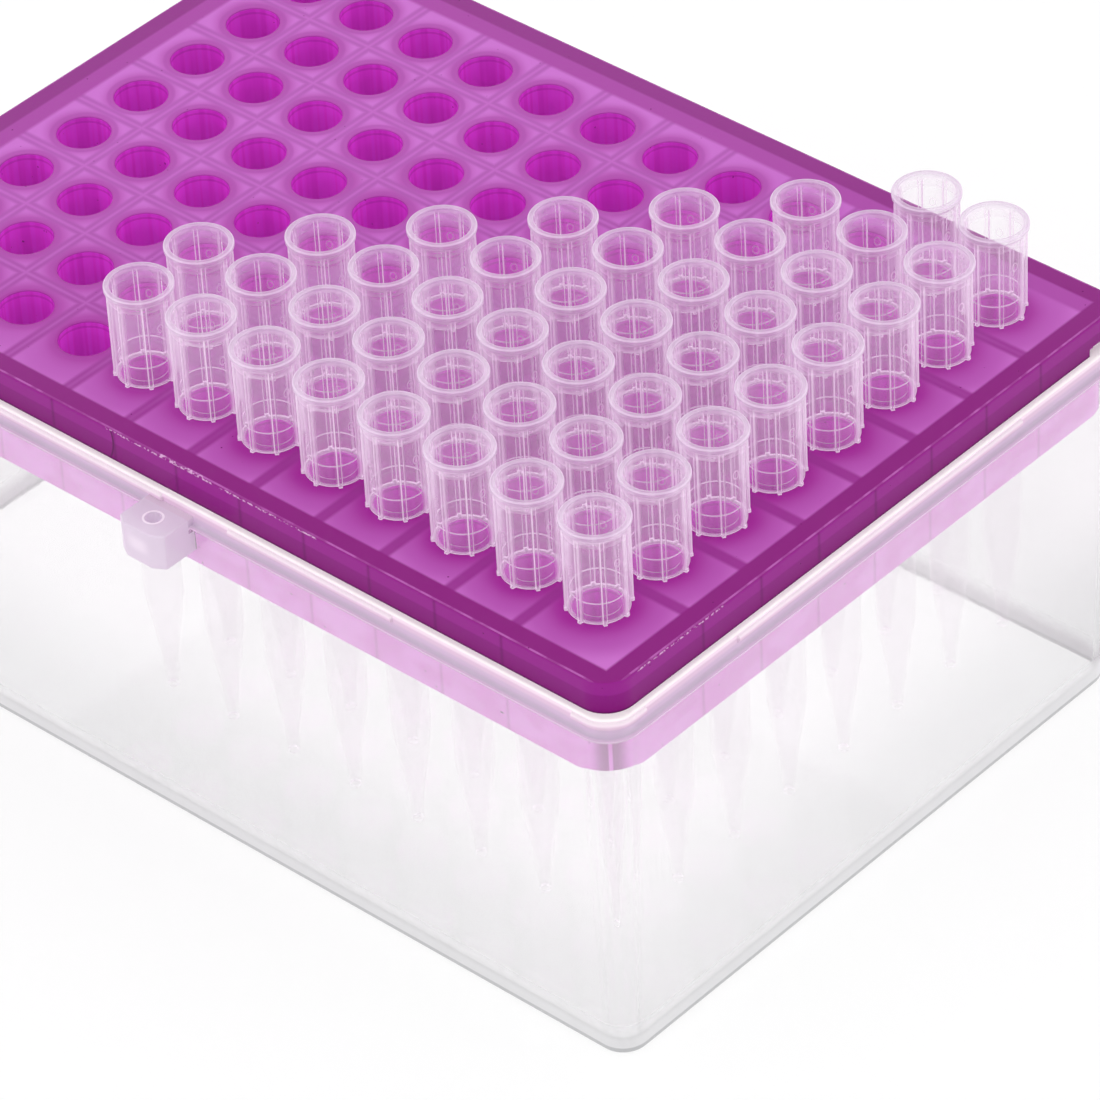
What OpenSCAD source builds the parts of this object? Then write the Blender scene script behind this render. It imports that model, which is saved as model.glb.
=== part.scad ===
// Box of pipette tips: a drafted clear tub, a tray-shaped rack with a grid of
// wells that rests on the tub's rim, and ribbed tips standing in part of the wells.
// Origin: centre of the tub's underside, X along the length, Z up. Millimetres.
// A margin is a distance beyond the outermost well centres, on all four sides.

/* [Wells] */
// Distance between neighbouring well centres
well_pitch = 9; // [8.8:0.1:11]
// Wells along the length
columns = 12; // [10:1:14]
// Wells across the width
rows = 8; // [7:1:10]
// Diameter of one well
well_d = 6; // [5.8:0.1:6.2]
// Columns of tips left in the two fullest rows, one fewer in each row after them
filled_columns = 8; // [3:1:9]

/* [Rack] */
// Height of the rack's top face above the bench
rack_top = 50.3; // [48:0.1:70]
// Thickness of the rack's top plate
plate_t = 1.6; // [1.2:0.1:2.4]
// Margin of the top plate
plate_margin = 9.75; // [9.6:0.05:10.2]
// Height of the flange that shows above the rim
flange_h = 3.95; // [3.2:0.05:4.8]
// Radius of the flange's upright corners
flange_corner_r = 3.5; // [2:0.1:4]
// Margin of the inner face of the rack's edge
edge_inner = 7.4; // [7.2:0.05:7.5]
// Thickness of the skirt that hangs inside the tub
skirt_t = 1.2; // [0.9:0.1:1.2]
// Height of the skirt below the flange
skirt_h = 8.45; // [6:0.05:12]
// Outer radius of the skirt's upright corners
skirt_corner_r = 4.2; // [2:0.1:4.2]
// Radius of the upright corners inside the rack's edge
cell_corner_r = 0.8; // [0.2:0.1:2]
// Thickness of the ribs between the wells
rib_t = 1; // [0.8:0.1:1.2]
// Depth of the ribs and of the sleeves round the wells, below the top face
grid_depth = 8; // [6:0.1:9.5]
// Wall of the sleeve round each well
sleeve_wall = 0.4; // [0.3:0.05:0.5]
// Height of the pry notch under the flange at one corner
notch_h = 1; // [0.5:0.1:1.5]
// Length of the pry notch along each side of its corner
notch_l = 6; // [4.5:0.1:12]

/* [Tub] */
// Wall thickness of the tub
wall_t = 1.4; // [1.1:0.1:1.6]
// Thickness of the tub's floor
floor_t = 1.5; // [1.2:0.1:3]
// Margin of the wall's outer face under the lip
wall_margin_top = 10.45; // [10.4:0.05:10.6]
// Margin of the wall's outer face at the floor
wall_margin_floor = 9; // [8.8:0.05:9.6]
// Margin of the wall's corner centres
wall_centre = 6; // [5.5:0.1:6.2]
// Round along the tub's bottom edge
foot_r = 0.8; // [0.4:0.1:1.2]

/* [Rim] */
// Gap between the rack's skirt and the inside of the rim
rack_gap = 0.35; // [0.25:0.05:0.4]
// Width of the rim's flat top
rim_flat = 1.2; // [1:0.05:1.25]
// Height of the rim, down to its lip's lower edge
rim_h = 2.55; // [2.5:0.05:3.4]
// How far the lip stands out from the wall
lip_out = 0.65; // [0.6:0.05:0.9]
// Margin of the rim's corner centres
rim_centre = 7.2; // [6.6:0.1:7.4]
// How far the snap ridges stand out from the rim
ridge_out = 0.35; // [0.2:0.05:0.5]
// Height of the snap ridges
ridge_h = 0.9; // [0.6:0.05:1]
// Half the stretch of a long side that carries snap ridges
long_ridge_reach = 30.6; // [20:0.2:36]
// Gap between the two snap ridges of a long side
long_ridge_gap = 9.5; // [4:0.5:20]
// Centre of that gap along the length
long_ridge_gap_x = 3.1; // [-5:0.1:5]
// Length of the snap ridge on a short side
short_ridge_l = 45.4; // [20:0.2:50]
// Straight run at both ends of a corner's snap ridge
corner_ridge_tail = 1.8; // [0.5:0.1:4]

/* [Lug] */
// Place of the lug's centre along the length
lug_x = -0.5; // [-10:0.5:10]
// Width of the lug
lug_w = 6.4; // [5.3:0.1:9]
// How far the lug stands out from the lip
lug_out = 4.5; // [4:0.1:7]
// Height of the lug
lug_h = 4.4; // [3.6:0.1:6]
// Drop from the rim's top to the lug's top
lug_drop = 1.25; // [0.8:0.05:1.8]
// Wall of the lug, which is open underneath
lug_wall = 0.9; // [0.7:0.1:1]
// Distance of the lug's hole from its front face
lug_hole_inset = 2.5; // [2:0.1:3]
// Diameter of the upright hole through the lug
lug_hole_d = 1.8; // [1.2:0.1:2.2]
// Wall of the boss round the lug's hole
boss_wall = 0.8; // [0.6:0.1:0.9]
// Length of the boss inside the lug
boss_h = 2.2; // [1.5:0.1:2.6]

/* [Tips] */
// Height of a tip's mouth above the rack
tip_rise = 11.4; // [9:0.1:15]
// Length of a tip below the rack's top face
tip_drop = 42; // [34:0.1:46]
// Diameter over the rolled mouth
mouth_d = 7.5; // [7.3:0.1:8]
// Outer diameter of the collar
collar_d = 6.5; // [6.4:0.1:6.7]
// Wall of the collar
collar_wall = 0.35; // [0.25:0.05:0.45]
// Diameter over the ribs of the collar
rib_circle_d = 7.1; // [6.9:0.1:7.2]
// Ribs round the collar
collar_ribs = 8; // [6:1:12]
// Thickness of one collar rib
collar_rib_t = 0.45; // [0.3:0.05:0.6]
// Turn of the first collar rib from the length of the box
rib_turn = 7; // [0:1:45]
// Height of the seat inside the collar
seat_z = 2.3; // [1.5:0.1:3.5]
// Outer diameter of the shank where it enters the well
shank_d = 5.4; // [5:0.1:5.5]
// Outer diameter of the shank level with the rack's lower edge
shank_low_d = 4.6; // [4.4:0.1:4.8]
// Wall of the shank
shank_wall = 0.4; // [0.3:0.05:0.5]
// Outer diameter where the long cone starts
cone_d = 4.2; // [4:0.1:4.4]
// Height of the start of the long cone above the tip's end
cone_h = 12.7; // [10:0.1:16]
// Outer diameter where the fine nozzle starts
nozzle_d = 1.7; // [1.5:0.1:2]
// Wall of the fine nozzle
nozzle_wall = 0.3; // [0.25:0.05:0.4]
// Length of the fine nozzle
nozzle_h = 4; // [3:0.1:6]
// Outer diameter of the tip's end
end_d = 1.1; // [1:0.05:1.3]

/* [Hidden] */
$fn = 64;
// Overlap of solids that are moulded together
sink = 0.2;
// Cutters run this far past a face
past = 1;
// Steps in a small round of a profile
arc_steps = 5;

half_x = (columns - 1) * well_pitch / 2;
half_y = (rows - 1) * well_pitch / 2;

flange_z = rack_top - flange_h;
skirt_z = flange_z - skirt_h;
grid_z = rack_top - grid_depth;
skirt_margin = edge_inner + skirt_t;
sleeve_d = well_d + 2 * sleeve_wall;
// The skirt's outer corners leave at least this wall at the sharper inner ones
corner_wall = 0.28;
skirt_r = min(skirt_corner_r, cell_corner_r + (sqrt(2) * skirt_t - corner_wall) / (sqrt(2) - 1));

rim_inner = skirt_margin + rack_gap;
rim_round = 0.3;
rim_face = rim_inner + rim_flat + rim_round;
lip_margin = wall_margin_top + lip_out;
lip_z = flange_z - rim_h;
lip_edge_h = 0.3;
lip_slope_h = 0.45;
wall_z = lip_z - lip_slope_h;

// Section of a snap ridge, as [stand-out, height] from the rim's face
ridge_bevel = 0.25;
ridge_z = flange_z - rim_round - ridge_h;
ridge = [
    [-sink, ridge_z],
    [0, ridge_z],
    [ridge_out, ridge_z + ridge_bevel],
    [ridge_out, ridge_z + ridge_h - ridge_bevel],
    [0, ridge_z + ridge_h],
    [-sink, ridge_z + ridge_h]
];

lug_top = flange_z - lug_drop;
lug_front = half_y + lip_margin + lug_out;
lug_chamfer_x = 1.4;
lug_chamfer_y = 0.8;
lug_hole_y = lug_front - lug_hole_inset;

seat_drop = 0.25;
seat_in = 0.3;
mouth_h = 0.7;
neck_h = 0.6;
mouth_bevel = 0.15;
bore_flare = 0.35;
shank_low_z = skirt_z - rack_top;

// Tips in a row: the two fullest rows first, then one fewer in each
function tips_in_row(row) = max(0, min(filled_columns, filled_columns + 1 - row));
function tip_name(row, column) = str("tip_", chr(97 + row), column + 1);
function well_x(column) = half_x - column * well_pitch;
function well_y(row) = row * well_pitch - half_y;
function arc(centre, r, from, to) =
    [for (k = [0:arc_steps]) let (a = from + (to - from) * k / arc_steps)
        centre + r * [cos(a), sin(a)]];

tips = [for (row = [0:rows - 1], column = [0:1:tips_in_row(row) - 1])
    [tip_name(row, column), well_x(column), well_y(row)]];

// One side of a frame: a section swept straight, facing outward at `turn`
module side_run(section, distance, length, turn) {
    rotate([0, 0, turn])
        translate([distance, 0, 0])
        rotate([90, 0, 0])
        linear_extrude(length, center = true)
        polygon(section);
}

// One corner of a frame: a section swept a quarter turn
module corner_run(section, x, y, turn) {
    translate([x, y, 0])
        rotate_extrude(angle = 90, start = turn)
        polygon(section);
}

// A profile of [margin, z] points swept round a rounded rectangle
module frame(profile, centre) {
    section = [for (p = profile) [p[0] - centre, p[1]]];
    x = half_x + centre;
    y = half_y + centre;
    for (turn = [0, 180]) {
        side_run(section, x, 2 * y, turn);
        side_run(section, y, 2 * x, turn + 90);
    }
    corner_run(section, x, y, 0);
    corner_run(section, -x, y, 90);
    corner_run(section, -x, -y, 180);
    corner_run(section, x, -y, 270);
}

// Plan of a plate with rounded corners
module outline(margin, r) {
    x = half_x + margin;
    y = half_y + margin;
    square([2 * (x - r), 2 * y], center = true);
    square([2 * x, 2 * (y - r)], center = true);
    for (sx = [-1, 1], sy = [-1, 1])
        translate([sx * (x - r), sy * (y - r)])
        circle(r);
}

// Snap ridges on the rim's face: two on a long side, one on a short side and
// one round each corner
module snap_ridges() {
    side_x = half_x + rim_face;
    side_y = half_y + rim_face;
    gap_from = long_ridge_gap_x - long_ridge_gap / 2;
    gap_to = long_ridge_gap_x + long_ridge_gap / 2;
    corner_x = half_x + rim_centre;
    corner_y = half_y + rim_centre;
    corner_ridge = [for (p = ridge) [p[0] + rim_face - rim_centre, p[1]]];
    for (side = [-1, 1]) {
        side_run(ridge, side_x, short_ridge_l, 90 - 90 * side);
        for (run = [[-long_ridge_reach, gap_from], [gap_to, long_ridge_reach]])
            translate([(run[0] + run[1]) / 2, 0, 0])
            side_run(ridge, side_y, run[1] - run[0], 90 * side);
        for (end = [-1, 1]) {
            translate([end * (corner_x - corner_ridge_tail / 2), 0, 0])
                side_run(ridge, side_y, corner_ridge_tail, 90 * side);
            translate([0, end * (corner_y - corner_ridge_tail / 2), 0])
                side_run(ridge, side_x, corner_ridge_tail, 90 - 90 * side);
        }
    }
    corner_run(corner_ridge, corner_x, corner_y, 0);
    corner_run(corner_ridge, -corner_x, corner_y, 90);
    corner_run(corner_ridge, -corner_x, -corner_y, 180);
    corner_run(corner_ridge, corner_x, -corner_y, 270);
}

// Rim: flat top, rounded shoulder and a face that flares out to a lip
module rim() {
    shoulder = [rim_face - rim_round, flange_z - rim_round];
    flare_r = lip_margin - rim_face;
    flare = [lip_margin, lip_z + lip_edge_h + flare_r];
    frame(concat(
        [[rim_inner, flange_z]],
        arc(shoulder, rim_round, 90, 0),
        arc(flare, flare_r, 180, 270),
        [[lip_margin, lip_z], [wall_margin_top - sink, wall_z], [rim_inner, wall_z]]
    ), rim_centre);
}

// Wall: drafted inside and out, with a round along the bottom edge
module tub_wall() {
    foot = [wall_margin_floor - foot_r, foot_r];
    frame(concat(
        [[wall_margin_top - wall_t, lip_z], [wall_margin_top, lip_z]],
        arc(foot, foot_r, 0, -90),
        [[wall_margin_floor - 2 * wall_t, 0], [wall_margin_floor - wall_t, floor_t]]
    ), wall_centre);
}

module lug_plan(inset, back) {
    x = lug_w / 2 - inset;
    front = lug_front - inset;
    polygon([
        [-x, -back],
        [-x, lug_chamfer_y - front],
        [lug_chamfer_x - x, -front],
        [x - lug_chamfer_x, -front],
        [x, lug_chamfer_y - front],
        [x, -back]
    ]);
}

// Lug: a shell open underneath, with a boss round its upright hole
module lug() {
    wall_face = half_y + wall_margin_top;
    difference() {
        union() {
            difference() {
                translate([0, 0, lug_top - lug_h])
                    linear_extrude(lug_h)
                    lug_plan(0, wall_face - wall_t / 2);
                translate([0, 0, lug_top - lug_h - past])
                    linear_extrude(lug_h - lug_wall + past)
                    lug_plan(lug_wall, wall_face);
            }
            translate([0, -lug_hole_y, lug_top - lug_wall - boss_h])
                cylinder(h = boss_h + lug_wall / 2, d = lug_hole_d + 2 * boss_wall);
        }
        translate([0, -lug_hole_y, lug_top - lug_h - past])
            cylinder(h = lug_h + 2 * past, d = lug_hole_d);
    }
}

module tub() {
    floor_margin = wall_margin_floor - wall_t / 2;
    color([0.93, 0.92, 0.95, 0.4]) {
        rim();
        tub_wall();
        linear_extrude(floor_t)
            outline(floor_margin, floor_margin - wall_centre);
        snap_ridges();
        translate([lug_x, 0, 0])
            lug();
    }
}

module well_holes() {
    for (column = [0:columns - 1], row = [0:rows - 1])
        translate([well_x(column), well_y(row)])
        circle(d = well_d);
}

// Plan of the hollow round one sleeve, between ribs or out to the rack's edge
module cell_hollow(column, row) {
    to_rib = (well_pitch - rib_t) / 2;
    left = column == columns - 1 ? edge_inner : to_rib;
    right = column == 0 ? edge_inner : to_rib;
    front = row == 0 ? edge_inner : to_rib;
    back = row == rows - 1 ? edge_inner : to_rib;
    translate([well_x(column), well_y(row)])
        difference() {
            translate([-left, -front])
                square([left + right, front + back]);
            circle(d = sleeve_d);
        }
}

// Plan of the edge with the grid of ribs and sleeves inside it
module grid_plan(margin, r) {
    difference() {
        outline(margin, r);
        intersection() {
            outline(edge_inner, cell_corner_r);
            for (column = [0:columns - 1], row = [0:rows - 1])
                cell_hollow(column, row);
        }
        well_holes();
    }
}

// Plan of the pry notch, out from the skirt round one corner
module notch_plan() {
    x = half_x + plate_margin;
    y = half_y + plate_margin;
    difference() {
        translate([x - notch_l, y - notch_l])
            square(notch_l + past);
        outline(skirt_margin, skirt_r);
    }
}

module rack() {
    notch_top = flange_z + notch_h;
    plate_z = rack_top - plate_t;
    color([0.62, 0.14, 0.6, 0.85]) {
        translate([0, 0, plate_z])
            linear_extrude(plate_t)
            difference() {
                outline(plate_margin, flange_corner_r);
                well_holes();
            }
        translate([0, 0, notch_top])
            linear_extrude(plate_z - notch_top)
            grid_plan(plate_margin, flange_corner_r);
        translate([0, 0, flange_z])
            linear_extrude(notch_h)
            difference() {
                grid_plan(plate_margin, flange_corner_r);
                notch_plan();
            }
        translate([0, 0, grid_z])
            linear_extrude(flange_z - grid_z)
            grid_plan(skirt_margin, skirt_r);
        translate([0, 0, skirt_z])
            linear_extrude(grid_z - skirt_z)
            difference() {
                outline(skirt_margin, skirt_r);
                outline(edge_inner, cell_corner_r);
            }
    }
}

// One tip about its own axis, with z = 0 where the collar stands on the rack
module tip() {
    mouth_r = mouth_d / 2;
    collar_r = collar_d / 2;
    bore_r = collar_r - collar_wall;
    throat_r = shank_d / 2 - shank_wall;
    neck_z = tip_rise - mouth_h;
    rib_in = collar_r - collar_wall / 2;
    rotate_extrude()
        polygon([
            [end_d / 2 - nozzle_wall, -tip_drop],
            [end_d / 2, -tip_drop],
            [nozzle_d / 2, nozzle_h - tip_drop],
            [cone_d / 2, cone_h - tip_drop],
            [shank_low_d / 2, shank_low_z],
            [shank_d / 2, 0],
            [collar_r, 0],
            [collar_r, neck_z - neck_h],
            [mouth_r - mouth_bevel, neck_z],
            [mouth_r, neck_z + mouth_bevel],
            [mouth_r, tip_rise - mouth_bevel],
            [mouth_r - mouth_bevel, tip_rise],
            [bore_r + bore_flare, tip_rise],
            [bore_r + bore_flare / 2, neck_z],
            [bore_r, seat_z],
            [bore_r - seat_in, seat_z - seat_drop],
            [throat_r, 0],
            [shank_low_d / 2 - shank_wall, shank_low_z],
            [cone_d / 2 - shank_wall, cone_h - tip_drop],
            [nozzle_d / 2 - nozzle_wall, nozzle_h - tip_drop]
        ]);
    for (k = [0:collar_ribs - 1])
        rotate([0, 0, rib_turn + 360 * k / collar_ribs])
        translate([rib_in, -collar_rib_t / 2, 0])
        cube([rib_circle_d / 2 - rib_in, collar_rib_t, neck_z + mouth_bevel]);
}

module placed_tip(x, y) {
    color([0.95, 0.93, 0.97, 0.5])
        translate([x, y, rack_top])
        tip();
}

tub();
rack();
for (tip = tips)
    placed_tip(tip[1], tip[2]);
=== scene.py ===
"""Box of pipette tips: a clear tub, a purple rack of wells and ribbed clear tips.

Lengths in the classes are millimetres in the frame of the CAD part: its origin is the centre
of the tub's underside, X runs along the length and Z is up. They turn into metres when a mesh
is made. A margin is a distance beyond the outermost well centres, on all four sides.
"""

import logging
import math
import random
from collections.abc import Iterable, Sequence
from dataclasses import dataclass
from enum import Enum

import bmesh
import bpy
from bpy.types import Material, Mesh, Node, NodeSocket, Object, World
from mathutils import Matrix, Vector
from mathutils.geometry import delaunay_2d_cdt


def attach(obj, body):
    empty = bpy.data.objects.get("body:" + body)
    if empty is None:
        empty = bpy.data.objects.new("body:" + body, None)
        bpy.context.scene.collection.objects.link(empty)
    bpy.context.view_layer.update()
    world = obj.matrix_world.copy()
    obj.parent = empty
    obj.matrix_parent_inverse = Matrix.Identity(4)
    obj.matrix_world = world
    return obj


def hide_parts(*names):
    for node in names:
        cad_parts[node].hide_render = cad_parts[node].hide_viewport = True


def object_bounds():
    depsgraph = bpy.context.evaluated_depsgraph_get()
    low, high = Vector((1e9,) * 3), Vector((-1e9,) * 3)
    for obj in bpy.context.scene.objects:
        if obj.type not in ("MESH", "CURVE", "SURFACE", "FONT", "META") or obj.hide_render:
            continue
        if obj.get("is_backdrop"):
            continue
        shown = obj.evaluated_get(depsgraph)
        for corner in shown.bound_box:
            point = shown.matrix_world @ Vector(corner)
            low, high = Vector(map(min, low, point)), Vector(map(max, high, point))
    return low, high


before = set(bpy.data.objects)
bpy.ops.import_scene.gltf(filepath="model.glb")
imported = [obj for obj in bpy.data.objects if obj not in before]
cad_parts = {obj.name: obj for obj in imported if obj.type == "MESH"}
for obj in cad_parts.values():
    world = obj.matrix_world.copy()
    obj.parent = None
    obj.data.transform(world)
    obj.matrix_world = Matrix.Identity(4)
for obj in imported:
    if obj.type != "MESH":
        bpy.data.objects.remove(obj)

LOG = logging.getLogger("tip_box")
MM = 0.001
CLEAR = -1.0  # veil that marks an inner face
PLASTIC_IOR = 1.49
PLAIN_SHARP = 30.0  # degrees beyond which an edge of a plain solid stays sharp
FLAT_FACES = "flat_faces"

Flat = tuple[float, float]
Point = tuple[float, float, float]
Colour = tuple[float, float, float]


class Slot(Enum):
    """Names of material slots, which no piece here is given."""

    TUB = "clear_tub"
    RACK = "purple_rack"
    TIP = "clear_tip"


class Zone(Enum):
    """What stands under a patch of the rack's plate."""

    OUTSIDE = "outside"
    OPEN = "open well"
    SLEEVE = "sleeve round a well"
    CELL = "hollow cell"
    RIB = "rib"
    SKIRT = "skirt"
    FLANGE = "flange"
    NOTCH = "pry notch"


class Span(Enum):
    """Which stretch of a rounded rectangle a station lies on."""

    END = "short side"
    SIDE = "long side"
    CORNER = "corner"


def linear(red: int, green: int, blue: int) -> Colour:
    """Turn a colour written in screen values into the linear values that shaders use.

    Args:
        red: Red, from 0 to 255.
        green: Green, from 0 to 255.
        blue: Blue, from 0 to 255.

    Returns:
        The linear colour.
    """

    def one(value: int) -> float:
        """Linear value of one channel."""
        share = value / 255
        return share / 12.92 if share <= 0.04045 else ((share + 0.055) / 1.055) ** 2.4

    return one(red), one(green), one(blue)


@dataclass(frozen=True)
class Wire:
    """A number or colour on its way through a material's nodes; each sum adds a node."""

    bench: "ShaderBench"
    socket: NodeSocket

    def __add__(self, other: "Value") -> "Wire":
        """Sum."""
        return self.bench.maths("ADD", self, other)

    def __radd__(self, other: float) -> "Wire":
        """Sum with a plain number."""
        return self.bench.maths("ADD", other, self)

    def __sub__(self, other: "Value") -> "Wire":
        """Difference."""
        return self.bench.maths("SUBTRACT", self, other)

    def __rsub__(self, other: float) -> "Wire":
        """Difference from a plain number."""
        return self.bench.maths("SUBTRACT", other, self)

    def __mul__(self, other: "Value") -> "Wire":
        """Product."""
        return self.bench.maths("MULTIPLY", self, other)

    def __truediv__(self, other: float) -> "Wire":
        """Quotient."""
        return self.bench.maths("DIVIDE", self, other)

    def __rtruediv__(self, other: float) -> "Wire":
        """Quotient of a plain number and this."""
        return self.bench.maths("DIVIDE", other, self)

    def __pow__(self, other: "Value") -> "Wire":
        """Power."""
        return self.bench.maths("POWER", self, other)

    def __or__(self, other: "Value") -> "Wire":
        """Larger of two, so that masks join."""
        return self.bench.maths("MAXIMUM", self, other)

    def __abs__(self) -> "Wire":
        """Size without sign."""
        return self.bench.maths("ABSOLUTE", self)

    def at_most(self, top: float) -> "Wire":
        """Smaller of two."""
        return self.bench.maths("MINIMUM", self, top)

    def rounded(self) -> "Wire":
        """Nearest whole number."""
        return self.bench.maths("ROUND", self)

    def scaled(self, low: float, high: float) -> "Wire":
        """A 0 to 1 value stretched to run from low to high."""
        return self * (high - low) + low

    def step(self, low: float, high: float) -> "Wire":
        """Rise smoothly from 0 to 1.

        Args:
            low: Where the rise starts, which may be the larger one.
            high: Where it ends.

        Returns:
            The rise.
        """
        ends = (low, high, 0.0, 1.0) if low <= high else (high, low, 1.0, 0.0)
        inputs = {"Value": self, **dict(zip(("From Min", "From Max", "To Min", "To Max"), ends))}
        made = self.bench.node("ShaderNodeMapRange", inputs, interpolation_type="SMOOTHSTEP")
        return Wire(self.bench, made.outputs[0])

    def rise(self, base: float, span: Flat) -> "Wire":
        """Rise smoothly from 0 to 1 between two distances from a base."""
        return self.step(base + span[0], base + span[1])

    def between(self, low: float, high: float, soft: float) -> "Wire":
        """1 where the value lies from low to high, fading out over soft on both sides."""
        return self.step(low - soft, low) * self.step(high + soft, high)

    def band(self, base: float, span: Flat, soft: float) -> "Wire":
        """1 between two distances from a base, fading out over soft on both sides."""
        return self.between(base + span[0], base + span[1], soft)


Value = float | Wire
Tint = Colour | Wire
Source = Value | Colour | NodeSocket


class ShaderBench:
    """The node tree of a material or of the sky while it is laid out."""

    def __init__(self, owner: Material | World) -> None:
        """Start an empty tree.

        Args:
            owner: What the tree belongs to.
        """
        self.owner = owner
        self.owner.use_nodes = True
        self.tree = self.owner.node_tree
        self.tree.nodes.clear()

    def node(
        self, kind: str, inputs: dict[str | int, Source] | None = None, **settings: object
    ) -> Node:
        """Add a node.

        Args:
            kind: Blender's name for the node.
            inputs: What its inputs get, by name or number.
            settings: Its properties by name.

        Returns:
            The new node.
        """
        made = self.tree.nodes.new(kind)
        for name, setting in settings.items():
            setattr(made, name, setting)
        for key, value in (inputs or {}).items():
            self.feed(made.inputs[key], value)
        return made

    def feed(self, socket: NodeSocket, value: Source) -> None:
        """Link a socket to another, or set it where the value is a plain number or colour.

        Args:
            socket: The input to feed.
            value: What it gets.
        """
        source = value.socket if isinstance(value, Wire) else value
        if isinstance(source, NodeSocket):
            self.tree.links.new(source, socket)
        elif isinstance(value, tuple) and socket.type == "RGBA":
            socket.default_value = (*value, 1.0)
        else:
            socket.default_value = value

    def maths(self, operation: str, first: Value, second: Value = 0.0) -> Wire:
        """Take one arithmetic step.

        Args:
            operation: Blender's name for the step.
            first: Its first number.
            second: Its second number, where it takes one.

        Returns:
            The result.
        """
        made = self.node("ShaderNodeMath", {0: first, 1: second}, operation=operation)
        return Wire(self, made.outputs[0])

    def mix(self, factor: Value, first: Tint, second: Tint) -> Wire:
        """Turn one colour into another.

        Args:
            factor: Share of the second colour.
            first: Colour at 0.
            second: Colour at 1.

        Returns:
            The mixed colour.
        """
        made = self.node("ShaderNodeMix", {0: factor, 6: first, 7: second}, data_type="RGBA")
        return Wire(self, made.outputs[2])

    def blend(self, factor: Value, first: Value, second: Value) -> Wire:
        """Turn one number into another.

        Args:
            factor: Share of the second number.
            first: Number at 0.
            second: Number at 1.

        Returns:
            The mixed number.
        """
        made = self.node("ShaderNodeMix", {0: factor, 2: first, 3: second}, data_type="FLOAT")
        return Wire(self, made.outputs[0])

    def either(self, share: Source, first: NodeSocket, second: NodeSocket) -> NodeSocket:
        """Turn one shader into another.

        Args:
            share: Share of the second shader.
            first: Shader at 0.
            second: Shader at 1.

        Returns:
            The mixed shader.
        """
        return self.node("ShaderNodeMixShader", {0: share, 1: first, 2: second}).outputs[0]

    def across(self, first: Wire, second: Wire) -> Wire:
        """Length of the slant over two legs at right angles."""
        return self.maths("SQRT", first**2.0 + second**2.0)

    def place(self) -> tuple[NodeSocket, list[Wire]]:
        """Find where on the object a point lies, in millimetres.

        Returns:
            Object coordinates as a vector and as three numbers.
        """
        metres = self.node("ShaderNodeTexCoord").outputs["Object"]
        grown = self.node("ShaderNodeVectorMath", {0: metres, "Scale": 1 / MM}, operation="SCALE")
        where = grown.outputs[0]
        parts = self.node("ShaderNodeSeparateXYZ", {0: where})
        return where, [Wire(self, part) for part in parts.outputs]

    def vector(self, operation: str, first: NodeSocket, second: Point) -> NodeSocket:
        """Take one step of vector arithmetic.

        Args:
            operation: Blender's name for the step.
            first: The vector.
            second: Three plain numbers.

        Returns:
            The resulting vector.
        """
        made = self.node("ShaderNodeVectorMath", {0: first, 1: second}, operation=operation)
        return made.outputs[0]

    def reach(self, where: NodeSocket, centre: Point, size: Point) -> Wire:
        """Measure how far a place is from a centre.

        Args:
            where: The place.
            centre: What it is measured from.
            size: Distance along each axis that counts as 1.

        Returns:
            The distance.
        """
        squeezed = self.vector("DIVIDE", self.vector("SUBTRACT", where, centre), size)
        length = self.node("ShaderNodeVectorMath", {0: squeezed}, operation="LENGTH")
        return Wire(self, length.outputs["Value"])

    def noise(self, where: NodeSocket, size: Point | float, detail: float = 2.0) -> Wire:
        """Make noise.

        Args:
            where: The place, in millimetres.
            size: About how large its features are, along each axis or all of them.
            detail: How many finer layers it has.

        Returns:
            The noise, around a half.
        """
        sizes = size if isinstance(size, tuple) else (size, size, size)
        squeezed = self.vector("MULTIPLY", where, tuple(1 / one for one in sizes))
        inputs = {"Vector": squeezed, "Scale": 1.0, "Detail": detail}
        return Wire(self, self.node("ShaderNodeTexNoise", inputs).outputs[0])

    def bump(self, height: Wire, strength: float, distance: float) -> NodeSocket:
        """Roughen the surface's normal.

        Args:
            height: The height that it follows.
            strength: How much of it shows.
            distance: Its full step in millimetres.

        Returns:
            The normal.
        """
        inputs = {"Height": height, "Strength": strength, "Distance": distance * MM}
        return self.node("ShaderNodeBump", inputs).outputs[0]

    def attribute(self, name: str) -> Wire:
        """A number stored on the mesh's points."""
        return Wire(self, self.node("ShaderNodeAttribute", attribute_name=name).outputs["Fac"])

    def lets_light_by(self, surface: NodeSocket, tint: Colour) -> NodeSocket:
        """Let the lamps' light pass straight through a surface, tinted.

        Args:
            surface: The shader that everything else sees.
            tint: Colour that the passing light takes on at one face.

        Returns:
            The shader to show.
        """
        rays = self.node("ShaderNodeLightPath")
        passing = self.node("ShaderNodeBsdfTransparent", {"Color": tint})
        return self.either(rays.outputs["Is Shadow Ray"], surface, passing.outputs[0])

    def finish(self, surface: NodeSocket) -> Material:
        """Show a shader on the surface, but not as a lamp.

        Args:
            surface: The shader.

        Returns:
            The finished material.
        """
        self.owner.cycles.emission_sampling = "NONE"
        self.node("ShaderNodeOutputMaterial", {"Surface": surface})
        return self.owner


@dataclass(frozen=True)
class Layer:
    """Colour and veil of a thin plastic from one height upward."""

    z: float
    colour: Colour
    veil: float
    soft: float = 0.08


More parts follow.
